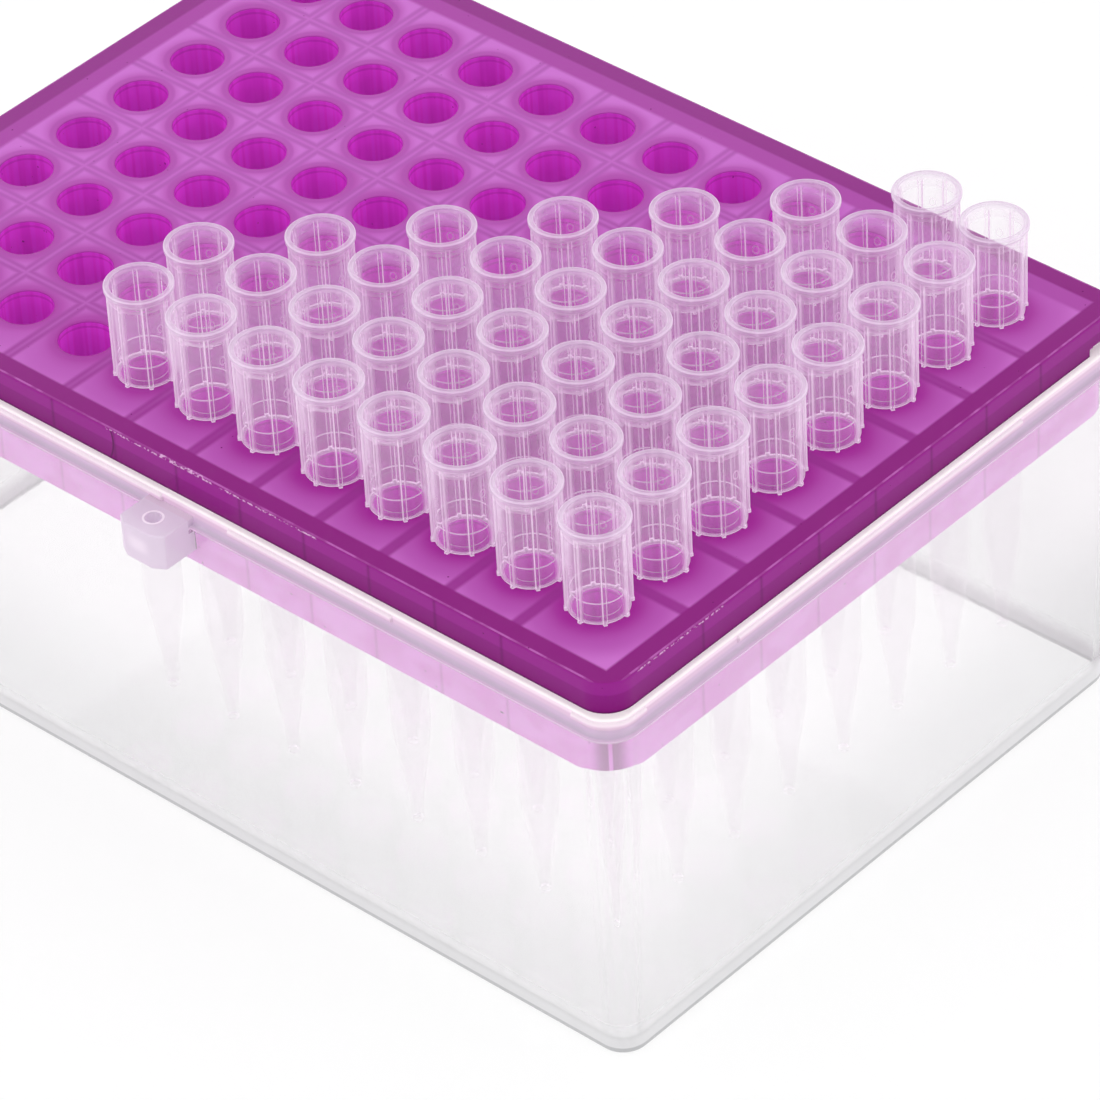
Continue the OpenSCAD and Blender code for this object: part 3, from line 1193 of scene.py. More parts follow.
@dataclass(frozen=True)
class Wells:
    """The grid of wells, which all pieces are laid out from."""

    pitch: float = 9.0
    columns: int = 12
    rows: int = 8
    hole_r: float = 3.0
    fullest: int = 8

    @property
    def half_x(self) -> float:
        """Distance of the outermost columns from the middle."""
        return (self.columns - 1) * self.pitch / 2

    @property
    def half_y(self) -> float:
        """Distance of the outermost rows from the middle."""
        return (self.rows - 1) * self.pitch / 2

    def centre(self, column: int, row: int) -> Flat:
        """Centre of one well; column 0 is at the +X end and row 0 at the -Y side."""
        return self.half_x - column * self.pitch, row * self.pitch - self.half_y

    def all(self) -> list[Flat]:
        """Centres of all wells."""
        return [self.centre(c, r) for c in range(self.columns) for r in range(self.rows)]

    def filled(self) -> list[tuple[str, Flat]]:
        """List the filled wells: two full rows, then one fewer in each row.

        Returns:
            Name and centre of each tip.
        """
        return [
            (f"tip_{chr(97 + row)}{column + 1}", self.centre(column, row))
            for row in range(self.rows)
            for column in range(max(0, min(self.fullest, self.fullest + 1 - row)))
        ]

    def outline(self, margin: float, radius: float, steps: int) -> list[Flat]:
        """Draw a rounded rectangle round the wells.

        Args:
            margin: How far beyond the outermost centres it runs.
            radius: Radius of its corners.
            steps: Steps in each corner.

        Returns:
            Its points, counter-clockwise from the +X side.
        """
        x, y = self.half_x + margin - radius, self.half_y + margin - radius
        corners = [((x, y), 0.0), ((-x, y), 90.0), ((-x, -y), 180.0), ((x, -y), 270.0)]
        return [p for centre, turn in corners for p in arc(centre, radius, turn, turn + 90, steps)]

    def beyond(self, place: Flat, margin: float) -> Flat:
        """How far a place lies beyond a margin along each axis."""
        return abs(place[0]) - self.half_x - margin, abs(place[1]) - self.half_y - margin

    def within(self, place: Flat, margin: float, radius: float) -> bool:
        """Tell whether a place lies inside a rounded rectangle round the wells.

        Args:
            place: The place.
            margin: How far beyond the outermost centres the rectangle runs.
            radius: Radius of its corners.

        Returns:
            True inside it.
        """
        x, y = self.beyond(place, margin - radius)
        return max(x, y) <= 0 or math.hypot(max(x, 0.0), max(y, 0.0)) <= radius

    def off_centre(self, place: Flat) -> Flat:
        """Measure a place from the centre of the nearest well.

        Args:
            place: The place.

        Returns:
            How far off it is along each axis.
        """
        column = min(max(round((self.half_x - place[0]) / self.pitch), 0), self.columns - 1)
        row = min(max(round((place[1] + self.half_y) / self.pitch), 0), self.rows - 1)
        x, y = self.centre(column, row)
        return place[0] - x, place[1] - y


@dataclass(frozen=True)
class Station:
    """One place round a wall: on a straight side, or at an angle of a corner."""

    span: Span
    side: Flat
    value: float

    def at(self, wells: Wells, margin: float, centre: float) -> Flat:
        """Find the place of this station on one ring of the wall.

        Args:
            wells: The grid that margins count from.
            margin: Margin of the ring.
            centre: Margin of the centres of its corners.

        Returns:
            The place.
        """
        sx, sy = self.side
        if self.span is Span.END:
            return sx * (wells.half_x + margin), self.value
        if self.span is Span.SIDE:
            return self.value, sy * (wells.half_y + margin)
        turn = math.radians(self.value)
        reach = margin - centre
        return (
            sx * (wells.half_x + centre) + reach * math.cos(turn),
            sy * (wells.half_y + centre) + reach * math.sin(turn),
        )


@dataclass(frozen=True)
class Level:
    """One ring of the tub: margin, height, margin of its corner centres and ridge share."""

    margin: float
    z: float
    centre: float
    ridge: float = 0.0
    veil_and_highlight: float = 0.0


@dataclass
class Tub:
    """Clear tub: drafted wall, flared rim with snap ridges, and a lug in front."""

    wells: Wells
    finish: VeilPlastic
    inner_finish: InnerFace
    top: float = 46.35
    rim_inner: float = 8.95
    rim_flat: float = 10.15
    rim_face: float = 10.45
    lip: float = 11.1
    lip_z: float = 43.8
    lip_edge: float = 0.3
    under_lip: float = 43.36
    rim_centre: float = 7.2
    wall_centre: float = 6.0
    wall_top: float = 10.45
    wall_floor: float = 9.0
    wall_t: float = 1.4
    floor_t: float = 1.5
    foot_r: float = 0.45
    fillet_r: float = 0.5
    under_reach: float = 0.6
    floor_reach: float = 0.5
    close: float = 0.05
    lip_cut: float = 0.1
    under_cut: Flat = (0.03, 0.09)
    rim_cut: Flat = (0.04, 0.15)
    ridge_out: float = 0.35
    ridge_low: float = 45.15
    ridge_high: float = 46.05
    ridge_rise: tuple[Flat, ...] = ((0.0, 0.0), (0.55, 0.06), (0.92, 0.17), (1.0, 0.3))
    long_reach: float = 30.6
    gap_from: float = -1.65
    gap_to: float = 7.85
    short_reach: float = 22.7
    corner_tail: float = 1.8
    ridge_end: float = 0.12
    corner_steps: int = 14
    side_step: float = 5.0
    sharp: float = 38.0
    lug: Lug = Lug()

    def ridge_share(self, station: Station) -> float:
        """Tell where a snap ridge runs.

        Args:
            station: The place round the tub.

        Returns:
            1 on a ridge and 0 where the rim's face is plain.
        """
        if station.span is Span.CORNER:
            return 1.0
        along = station.value
        if station.span is Span.END:
            tail = self.wells.half_y + self.rim_centre - self.corner_tail
            return float(abs(along) <= self.short_reach or abs(along) >= tail)
        tail = self.wells.half_x + self.rim_centre - self.corner_tail
        in_gap = self.gap_from < along < self.gap_to
        on_run = abs(along) <= self.long_reach and not in_gap
        return float(on_run or abs(along) >= tail)

    def steps_along(self, ends: Iterable[float], reach: float) -> list[float]:
        """Space out the places along a straight side.

        Args:
            ends: Where ridges end; both sides of each end get a place.
            reach: How far the side runs from its middle.

        Returns:
            The places, with fillers between.
        """
        marks = {s * reach for s in (-1, 1)}
        for end in ends:
            marks |= {end, end - self.ridge_end, end + self.ridge_end}
        ordered = sorted(marks)
        filled = []
        for a, b in zip(ordered, ordered[1:]):
            pieces = max(1, round((b - a) / self.side_step))
            filled += [a + (b - a) * k / pieces for k in range(pieces)]
        return [*filled, ordered[-1]]

    def stations(self) -> list[Station]:
        """List all places round the tub.

        Returns:
            The stations, counter-clockwise from the +X end.
        """
        wells = self.wells
        tail_x = wells.half_x + self.rim_centre - self.corner_tail
        tail_y = wells.half_y + self.rim_centre - self.corner_tail
        ends = [self.long_reach, -self.long_reach, self.gap_from, self.gap_to, tail_x, -tail_x]
        xs = self.steps_along(ends, tail_x + self.ridge_end)
        ys = self.steps_along(
            [self.short_reach, -self.short_reach, tail_y, -tail_y], tail_y + self.ridge_end
        )
        turns = [90 * k / self.corner_steps for k in range(self.corner_steps + 1)]
        made = [Station(Span.END, (1, 0), y) for y in ys]
        made += [Station(Span.CORNER, (1, 1), t) for t in turns]
        made += [Station(Span.SIDE, (0, 1), x) for x in reversed(xs)]
        made += [Station(Span.CORNER, (-1, 1), t + 90) for t in turns]
        made += [Station(Span.END, (-1, 0), y) for y in reversed(ys)]
        made += [Station(Span.CORNER, (-1, -1), t + 180) for t in turns]
        made += [Station(Span.SIDE, (0, -1), x) for x in xs]
        made += [Station(Span.CORNER, (1, -1), t + 270) for t in turns]
        return made

    def levels(self) -> list[Level]:
        """List the rings: from under the floor, up the outside and down the inside.

        Returns:
            The rings in order.
        """
        return [*self.outer_levels(), *self.rim_levels(), *self.inner_levels()]

    def outer_levels(self) -> list[Level]:
        """List the rings under the floor and up the outside of the wall.

        Returns:
            The rings up to the lip.
        """
        rim, wall = self.rim_centre, self.wall_centre
        foot = arc((self.wall_floor - self.foot_r, self.foot_r), self.foot_r, -90, 0, 5)
        under = (wall + self.under_reach, foot[0][0] - self.close)
        made = [Level(m, 0.0, wall, 0.0, CLEAR) for m in under]
        made += [Level(m, z, wall) for m, z in foot]
        made.append(Level(self.wall_floor, self.foot_r + self.close, wall))
        rise = self.under_lip - self.foot_r - self.close
        for share in (0.25, 0.5, 0.75, 1.0):
            margin = self.wall_floor + (self.wall_top - self.wall_floor) * share
            made.append(Level(margin - 0.005, self.under_lip - rise * (1 - share), wall))
        out, up = self.under_cut
        made.append(Level(self.rim_face + out, self.under_lip + up, rim))
        made.append(Level(self.lip - self.lip_cut, self.lip_z, rim))
        return [*made, Level(self.lip, self.lip_z + self.lip_cut, rim)]

    def rim_levels(self) -> list[Level]:
        """List the rings of the flared rim, with its snap ridge and rounded top.

        Returns:
            The rings from the lip to the rim's inner edge.
        """
        rim = self.rim_centre
        flare_r = self.lip - self.rim_face
        flare = arc((self.lip, self.lip_z + self.lip_edge + flare_r), flare_r, 270, 180, 7)
        made = [Level(m, z, rim) for m, z in flare]
        ridge = [(share, self.ridge_low + up) for share, up in self.ridge_rise]
        ridge += [(share, self.ridge_high - up) for share, up in reversed(self.ridge_rise)]
        made += [Level(self.rim_face, z, rim, share) for share, z in ridge]
        round_r = self.rim_face - self.rim_flat
        shoulder = arc((self.rim_flat, self.top - round_r), round_r, 15, 90, 5)
        made += [Level(m, z, rim) for m, z in shoulder]
        cut, flat = self.rim_cut
        made.append(Level(self.rim_inner + flat, self.top, rim))
        return [*made, Level(self.rim_inner + cut, self.top - cut, rim)]

    def inner_levels(self) -> list[Level]:
        """List the rings down the inside, all marked as inner faces.

        Returns:
            The rings from the rim to the middle of the floor.
        """
        wall = self.wall_centre
        heights = (self.top - self.rim_cut[1], self.under_lip + self.lip_cut)
        made = [Level(self.rim_inner, z, self.rim_centre, 0.0, CLEAR) for z in heights]
        inner_top = self.wall_top - self.wall_t
        inner_floor = self.wall_floor - self.wall_t
        made.append(Level(inner_top - 0.01, self.under_lip, wall, 0.0, CLEAR))
        drop = self.under_lip - self.floor_t
        for share in (0.25, 0.5, 0.75):
            margin = inner_top + (inner_floor - inner_top) * share
            made.append(Level(margin, self.under_lip - drop * share, wall, 0.0, CLEAR))
        r = self.fillet_r
        fillet = arc((inner_floor - r, self.floor_t + r), r, 0, -90, 4)
        made += [Level(m, z, wall, 0.0, CLEAR) for m, z in fillet]
        made.append(Level(wall + self.floor_reach, self.floor_t, wall, 0.0, CLEAR))
        return made

    def body(self) -> Object:
        """Build the tub without its lug.

        Returns:
            The tub's body, with its two materials.
        """
        shell = Shell()
        stations = self.stations()
        rings = []
        for level in self.levels():
            ring = []
            for station in stations:
                out = self.ridge_out * level.ridge * self.ridge_share(station)
                x, y = station.at(self.wells, level.margin + out, level.centre)
                ring.append((x, y, level.z))
            rings.append(shell.ring(ring, level.veil_and_highlight))
        shell.loft(rings)
        shell.cap(rings[0])
        shell.cap(rings[-1])
        tub = show("tub", shell.mesh("tub", self.sharp), self.finish.material())
        tub.data.materials.append(self.inner_finish.material())
        return tub

    def lug_body(self) -> Object:
        """Build the lug: a shell open underneath with a boss round its upright hole.

        Returns:
            The lug, for the union with the tub.
        """
        lug = self.lug
        wall_face = self.wells.half_y + self.wall_top
        hole = (lug.x, -lug.hole_y)
        outer = lug.plan(0, wall_face - self.wall_t / 2)
        made = prism("lug", outer, lug.low, lug.high, lug.rounding)
        inner = lug.plan(lug.wall, wall_face + 0.02)
        hollow = prism("lug_hollow", inner, lug.low - 1, lug.high - lug.wall, 0.2)
        joined(made, hollow, "DIFFERENCE")
        into_top = lug.high - lug.wall / 2
        boss = prism("lug_boss", circle(hole, lug.boss_r, lug.points), lug.boss_low, into_top)
        joined(made, boss, "UNION")
        edge = circle(hole, lug.hole_r, lug.points - 4)
        bore = prism("lug_bore", edge, lug.low - 1, lug.high + 1)
        return joined(made, bore, "DIFFERENCE")

    def veil_lug(self, mesh: Mesh) -> None:
        """Take the mark for inner faces off the lug, which the union puts there.

        Args:
            mesh: The tub's mesh with its lug.
        """
        lug, near = self.lug, self.lug.crisp
        face = -(self.wells.half_y + self.wall_top)
        for point, veil_and_highlight in zip(mesh.vertices, mesh.attributes["veil_and_highlight"].data):
            x, y, z = (c / MM for c in point.co)
            beside = abs(x - lug.x) < lug.width / 2 + near
            if y < face + 2 * near and beside and lug.low - near < z < lug.high + near:
                veil_and_highlight.value = max(veil_and_highlight.value, 0.0)

    def build(self) -> Object:
        """Build and dress the tub.

        Returns:
            The tub, standing for its CAD node.
        """
        tub = joined(self.body(), self.lug_body(), "UNION")
        self.veil_lug(tub.data)
        tub.visible_shadow = False
        smooth(tub.data, self.sharp)
        keep_flat(tub)
        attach(tub, "root")
        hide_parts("tub")
        return tub


@dataclass
class Rack:
    """Purple rack: a plate of wells, ribs and sleeves under it, a skirt and an outer flange."""

    wells: Wells
    finish: PurplePlastic
    top: float = 50.3
    plate_t: float = 1.6
    flange_margin: float = 9.75
    flange_h: float = 3.95
    flange_r: float = 3.5
    edge_inner: float = 7.4
    cell_r: float = 0.8
    skirt_t: float = 1.2
    skirt_h: float = 8.45
    skirt_r: float = 4.2
    grid_depth: float = 8.0
    rib_t: float = 1.0
    sleeve_wall: float = 0.4
    notch_h: float = 1.0
    notch_l: float = 6.0
    edge_round: float = 0.3
    well_round: float = 0.16
    well_points: int = 40
    corner_steps: int = 10
    cell_steps: int = 5
    crisp: float = 0.05
    overrun: float = 0.5
    merge: float = 1e-4
    round_shares: tuple[float, ...] = (0.0, 0.08, 0.3, 0.62, 1.0)
    sharp: float = 35.0

    def zone(self, place: Flat) -> Zone:
        """Tell what stands under one place of the plate.

        Args:
            place: The place.

        Returns:
            The zone it lies in.
        """
        wells = self.wells
        if not wells.within(place, self.flange_margin, self.flange_r):
            return Zone.OUTSIDE
        if not wells.within(place, self.edge_inner + self.skirt_t, self.skirt_r):
            notch = self.flange_margin - self.notch_l
            in_notch = place[0] > wells.half_x + notch and place[1] > wells.half_y + notch
            return Zone.NOTCH if in_notch else Zone.FLANGE
        if not wells.within(place, self.edge_inner, self.cell_r):
            return Zone.SKIRT
        off_x, off_y = wells.off_centre(place)
        away = math.hypot(off_x, off_y)
        if away < wells.hole_r:
            return Zone.OPEN
        if away < wells.hole_r + self.sleeve_wall:
            return Zone.SLEEVE
        to_rib = (wells.pitch - self.rib_t) / 2
        across_x = abs(off_x) > to_rib and abs(place[0]) < wells.half_x
        across_y = abs(off_y) > to_rib and abs(place[1]) < wells.half_y
        return Zone.RIB if across_x or across_y else Zone.CELL

    def bottom(self, zone: Zone) -> float | None:
        """Find the underside of a zone.

        Args:
            zone: The zone.

        Returns:
            Its height, or None where nothing stands.
        """
        flange = self.top - self.flange_h
        return {
            Zone.OUTSIDE: None,
            Zone.OPEN: None,
            Zone.SLEEVE: self.top - self.grid_depth,
            Zone.RIB: self.top - self.grid_depth,
            Zone.CELL: self.top - self.plate_t,
            Zone.SKIRT: flange - self.skirt_h,
            Zone.FLANGE: flange,
            Zone.NOTCH: flange + self.notch_h,
        }[zone]

    def drop(self, place: Flat) -> float:
        """Measure how far the rounded edges of plate and wells fall below the top.

        Args:
            place: The place.

        Returns:
            The fall, which is 0 away from the edges.
        """
        wells = self.wells
        radius = self.edge_round
        x, y = wells.beyond(place, self.flange_margin - self.flange_r)
        out = math.hypot(max(x, 0.0), max(y, 0.0)) if x > 0 and y > 0 else max(x, y)
        into = out - (self.flange_r - radius)
        if into > 0:
            return radius - math.sqrt(max(radius**2 - into**2, 0.0))
        radius = self.well_round
        into = wells.hole_r + radius - math.hypot(*wells.off_centre(place))
        if into > 0:
            return radius - math.sqrt(max(radius**2 - min(into, radius) ** 2, 0.0))
        return 0.0

    def plan(self) -> tuple[list[Vector], list[tuple[int, ...]]]:
        """Triangles of the plan, split along every line where the underside steps.

        Returns:
            Places and triangles that name them.
        """
        places: list[Vector] = []
        edges: list[tuple[int, int]] = []

        def loop(points: Sequence[Flat]) -> None:
            """Add a closed line.

            Args:
                points: Its points in order.
            """
            start = len(places)
            places.extend(Vector(p) for p in points)
            count = len(points)
            edges.extend((start + k, start + (k + 1) % count) for k in range(count))

        def line(a: Flat, b: Flat) -> None:
            """Add one straight line."""
            places.extend((Vector(a), Vector(b)))
            edges.append((len(places) - 2, len(places) - 1))

        wells = self.wells
        for share in self.round_shares:
            inset = self.edge_round * share
            margin, radius = self.flange_margin - inset, self.flange_r - inset
            loop(wells.outline(margin, radius, self.corner_steps))
        loop(wells.outline(self.edge_inner + self.skirt_t, self.skirt_r, self.corner_steps))
        loop(wells.outline(self.edge_inner, self.cell_r, self.cell_steps))
        for centre in wells.all():
            for out in (0.0, self.crisp, self.well_round, self.sleeve_wall):
                loop(circle(centre, wells.hole_r + out, self.well_points))
        reach_x, reach_y = wells.half_x + self.edge_inner, wells.half_y + self.edge_inner
        for side in (-self.rib_t / 2, self.rib_t / 2):
            for column in range(wells.columns - 1):
                x = wells.half_x - (column + 0.5) * wells.pitch + side
                line((x, -reach_y), (x, reach_y))
            for row in range(wells.rows - 1):
                y = (row + 0.5) * wells.pitch - wells.half_y + side
                line((-reach_x, y), (reach_x, y))
        near = self.flange_margin - self.notch_l
        nx, ny = wells.half_x + near, wells.half_y + near
        start, far = self.edge_inner + self.overrun, self.flange_margin + self.overrun
        line((nx, wells.half_y + start), (nx, wells.half_y + far))
        line((wells.half_x + start, ny), (wells.half_x + far, ny))
        found = delaunay_2d_cdt(places, edges, [], 0, self.merge)
        return list(found[0]), [tuple(f) for f in found[2]]

    def solid(self) -> Mesh:
        """Raise the plan into a closed solid.

        Returns:
            The rack's mesh.
        """
        places, triangles = self.plan()
        shell = Shell()
        known: dict[tuple[int, float], int] = {}

        def corner(place: int, z: float) -> int:
            """Find the point above a place at a height, and add it if it is new.

            Args:
                place: Number of the place.
                z: The height.

            Returns:
                Number of the point.
            """
            key = (place, round(z, 5))
            if key not in known:
                known[key] = shell.ring([(places[place].x, places[place].y, z)])[0]
            return known[key]

        tops = [self.top - self.drop((p.x, p.y)) for p in places]
        bottoms = []
        heights: dict[int, set[float]] = {}
        for triangle in triangles:
            middle = sum((places[k] for k in triangle), Vector((0, 0))) / 3
            bottom = self.bottom(self.zone((middle.x, middle.y)))
            bottoms.append(bottom)
            if bottom is not None:
                for k in triangle:
                    heights.setdefault(k, {tops[k]}).add(bottom)
        sides: dict[tuple[int, int], float] = {}
        for triangle, bottom in zip(triangles, bottoms):
            if bottom is None:
                continue
            shell.faces.append(tuple(corner(k, tops[k]) for k in triangle))
            shell.faces.append(tuple(corner(k, bottom) for k in reversed(triangle)))
            for k in range(3):
                sides[triangle[k], triangle[(k + 1) % 3]] = bottom
        for (a, b), bottom in sides.items():
            other = sides.get((b, a))
            if other is not None and other <= bottom:
                continue
            upper_a = tops[a] if other is None else other
            upper_b = tops[b] if other is None else other
            climb_b = sorted(z for z in heights[b] if bottom < z < upper_b)
            climb_a = sorted(z for z in heights[a] if bottom < z < upper_a)
            face = [corner(a, bottom), corner(b, bottom), *(corner(b, z) for z in climb_b)]
            face += [corner(b, upper_b), corner(a, upper_a)]
            face += [corner(a, z) for z in reversed(climb_a)]
            shell.faces.append(tuple(face))
        return shell.mesh("rack", self.sharp)

    def build(self) -> Object:
        """Build and dress the rack.

        Returns:
            The rack, standing for its CAD node.
        """
        rack = show("rack", self.solid(), self.finish.material())
        keep_flat(rack)
        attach(rack, "root")
        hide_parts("rack")
        return rack


@dataclass(frozen=True)
class Turn:
    """One ring of a tip: radius, height, how far its ribs stand out, and extra veil that paints
    highlight lines.
    """

    radius: float
    z: float
    ribs: float = 0.0
    veil_and_highlight: float = 0.0


@dataclass
class Tip:
    """One pipette tip about its own axis, with z = 0 where the collar stands on the rack."""

    finish: VeilPlastic
    inner_finish: InnerFace
    shank_finish: VeilPlastic
    rise: float = 11.4
    mouth_r: float = 3.75
    collar_r: float = 3.25
    collar_wall: float = 0.35
    rib_r: float = 3.55
    rib_draft: float = 0.03
    ribs: int = 8
    rib_t: float = 0.45
    rib_turn: float = 7.0
    neck_z: float = 10.7
    seat_z: float = 2.3
    shank: tuple[Flat, ...] = (
        (2.7, -0.02),
        (2.3, -12.4),
        (2.1, -29.3),
        (0.85, -38.0),
        (0.55, -42.0),
    )
    bore: tuple[Flat, ...] = ((2.3, 0.0), (1.9, -12.4), (1.7, -29.3), (0.55, -38.0), (0.25, -42.0))
    foot_gap: float = 0.03
    rib_highlight: float = 0.42
    rib_edge: float = 0.04
    gap_steps: int = 7
    bead_r: float = 0.22
    lip_r: float = 0.2
    sharp: float = 32.0

    def rib_section(self) -> list[tuple[float, float, float]]:
        """Draw the section of one rib.

        Returns:
            Places across it: millimetres from its middle, share of its stand-out, and veil, which
                paints highlight lines along the rib's edges.
        """
        half = self.rib_t / 2
        rise = [(half + self.rib_edge, 0.0, 0.2), (half, 0.5, 0.8)]
        rise += [(half - 0.06, 1.0, 1.0), (half - 0.12, 1.0, 0.1)]
        return [(-across, share, veil) for across, share, veil in rise] + rise[::-1]

    def stations(self) -> list[tuple[float, float, float]]:
        """List every place round the tip.

        Returns:
            Angle in radians, rib share and rib veil of each.
        """
        made = []
        pitch = 2 * math.pi / self.ribs
        edge = (self.rib_t / 2 + self.rib_edge) / self.collar_r
        step = (pitch - 2 * edge) / self.gap_steps
        for k in range(self.ribs):
            middle = math.radians(self.rib_turn) + k * pitch
            for across, share, veil in self.rib_section():
                made.append((middle + across / self.collar_r, share, veil))
            made += [(middle + edge + step * n, 0.0, 0.0) for n in range(1, self.gap_steps)]
        return made

    def turns(self) -> list[Turn]:
        """List the rings: from the end of the nozzle, up the outside and down the bore.

        Returns:
            The rings in order.
        """
        return [*self.outer_turns(), *self.mouth_turns(), *self.inner_turns()]

    def outer_turns(self) -> list[Turn]:
        """List the rings up the shank and the ribbed collar.

        Returns:
            The rings from the nozzle to the bead.
        """
        r, neck, foot = self.collar_r, self.neck_z, self.foot_gap
        end_r, end_z = self.shank[-1]
        # Extra veil on these rings paints highlight lines: a pale nozzle end, a bright line round
        # the collar's foot and faint lines at the neck.
        made = [Turn(end_r, end_z, 0.0, 0.4), Turn(end_r + 0.01, end_z + 0.22, 0.0, 0.4)]
        made.append(Turn(end_r + 0.02, end_z + 0.28))
        made += [Turn(radius, z) for radius, z in reversed(self.shank[:-1])]
        made.append(Turn(self.shank[0][0] + 0.02, foot))
        collar = (
            (r - 0.1, foot, 1.0, 0.2),
            (r - 0.02, foot, 1.25, 0.7),
            (r, foot + 0.12, 1.25, 0.7),
            (r, foot + 0.16, 1.25, 0.0),
            (r, 0.42, 1.25, 0.0),
            (r, 0.46, 1.0, 0.0),
            (r, 1.4, 1.0, 0.0),
            (r, neck - 1.15, 0.92, 0.0),
            (r + 0.06, neck - 1.05, 0.9, 0.1),
            (r + 0.07, neck - 0.6, 0.85, 0.05),
            (r + 0.14, neck - 0.3, 0.7, 0.1),
            (r + 0.34, neck - 0.02, 0.0, 0.3),
        )
        return made + [Turn(*one) for one in collar]

    def mouth_turns(self) -> list[Turn]:
        """List the rings of the bead and over the rounded lip of the mouth.

        Returns:
            The rings from the bead's underside to the inner edge of the lip.
        """
        bead, low, lip = self.mouth_r - self.bead_r, self.neck_z + self.bead_r, self.lip_r
        under = arc((bead, low), self.bead_r, -60, 0, 3)
        over = arc((bead, self.rise - self.bead_r), self.bead_r, 0, 90, 4)
        mouth = self.collar_r - self.collar_wall + 2 * lip
        inward = arc((mouth, self.rise - lip), lip, 90, 180, 4)
        # These veils paint highlight lines round the bead and the lip of the mouth.
        veils = [0.2] * len(under) + [0.2, 0.55, 0.6, 0.35, 0.15] + [0.15, 0.2, 0.3, 0.1, 0.0]
        return [Turn(m, z, 0.0, v) for (m, z), v in zip([*under, *over, *inward], veils)]

    def inner_turns(self) -> list[Turn]:
        """List the rings down the inside, which is clear but for a few painted highlight lines.

        Returns:
            The rings from the mouth to the end of the bore.
        """
        r, neck, seat = self.collar_r - self.collar_wall, self.neck_z, self.seat_z
        top_of_bore = self.bore[0][0]
        # The numbers that are not CLEAR paint highlight lines round the seat and the top of the
        # bore.
        inside = (
            (r + self.lip_r - 0.02, self.rise - 0.45, CLEAR),
            (r + 0.1, neck - 1.1, CLEAR),
            (r + 0.07, neck - 1.15, 0.1),
            (r + 0.06, neck - 1.25, CLEAR),
            (r, seat + 0.3, CLEAR),
            (r, seat + 0.2, 0.0),
            (r, seat + 0.12, 0.4),
            (r - 0.02, seat, 0.5),
            (r - 0.05, seat - 0.02, CLEAR),
            (r - 0.3, seat - 0.25, CLEAR),
            (r - 0.34, seat - 0.3, 0.25),
            (r - 0.35, seat - 0.45, CLEAR),
            (top_of_bore + 0.06, 0.45, CLEAR),
            (top_of_bore + 0.02, 0.35, 0.35),
            *((radius, z, CLEAR) for radius, z in self.bore),
        )
        return [Turn(radius, z, 0.0, veil) for radius, z, veil in inside]

    def mesh(self) -> Mesh:
        """Build the tip's mesh, ribs and bore in one closed skin.

        Returns:
            The mesh, with its three materials.
        """
        shell = Shell()
        stations = self.stations()
        rings = []
        for turn in self.turns():
            rib_r = self.rib_r + self.rib_draft * (turn.z / self.rise * 2 - 1)
            ring, veil_and_highlight = [], []
            for angle, share, veil in stations:
                out = (rib_r - turn.radius) * turn.ribs * share
                radius = turn.radius + out
                ring.append((radius * math.cos(angle), radius * math.sin(angle), turn.z))
                # Extra veil along the ribs' edges paints their highlight lines.
                veil_and_highlight.append(min(turn.veil_and_highlight + self.rib_highlight * min(turn.ribs, 1.0) * veil, 1.0))
            rings.append(shell.ring(ring, veil_and_highlight))
        shell.loft(rings)
        shell.band(rings[-1], rings[0])
        mesh = shell.mesh("tip", self.sharp)
        for finish in (self.finish, self.inner_finish, self.shank_finish):
            mesh.materials.append(finish.material())
        for face in mesh.polygons:
            if face.material_index == 0 and face.center.z < -0.01 * MM:
                face.material_index = 2
        return mesh


@dataclass
class Tips:
    """All tips in the rack, each its own piece."""

    wells: Wells
    tip: Tip
    rack_top: float = Rack.top
    seed: int = 11
    wobble: float = 1.5

    def build(self) -> list[Object]:
        """Stand one tip in each filled well, each turned a little by chance.

        Returns:
            The tips, each standing for its CAD node.
        """
        chance = random.Random(self.seed)
        mesh = self.tip.mesh()
        made = []
        for name, (x, y) in self.wells.filled():
            tip = show(name, mesh)
            tip.visible_shadow = False
            turn = Matrix.Rotation(math.radians(chance.uniform(-self.wobble, self.wobble)), 4, "Z")
            tip.matrix_world = Matrix.Translation((x * MM, y * MM, self.rack_top * MM)) @ turn
            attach(tip, "root")
            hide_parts(name)
            made.append(tip)
        return made


def aimed(azimuth: float, elevation: float) -> Vector:
    """Point a unit arrow.

    Args:
        azimuth: Degrees from X towards Y.
        elevation: Degrees above the floor.

    Returns:
        The arrow.
    """
    a, e = math.radians(azimuth), math.radians(elevation)
    return Vector((math.cos(a) * math.cos(e), math.sin(a) * math.cos(e), math.sin(e)))


@dataclass
class Softbox:
    """One large soft lamp, aimed at the box."""

    name: str
    azimuth: float
    elevation: float
    distance: float
    size: Flat
    power: float
    target: Point = (0.0, 0.0, 0.03)

    def build(self) -> Object:
        """Hang the lamp and aim it.

        Returns:
            The lamp.
        """
        data = bpy.data.lights.new(self.name, "AREA")
        data.shape = "RECTANGLE"
        data.size, data.size_y = self.size
        data.energy = self.power
        lamp = bpy.data.objects.new(self.name, data)
        bpy.context.scene.collection.objects.link(lamp)
        out = aimed(self.azimuth, self.elevation)
        lamp.location = Vector(self.target) + out * self.distance
        lamp.rotation_mode = "QUATERNION"
        lamp.rotation_quaternion = out.to_track_quat("Z", "Y")
        return lamp


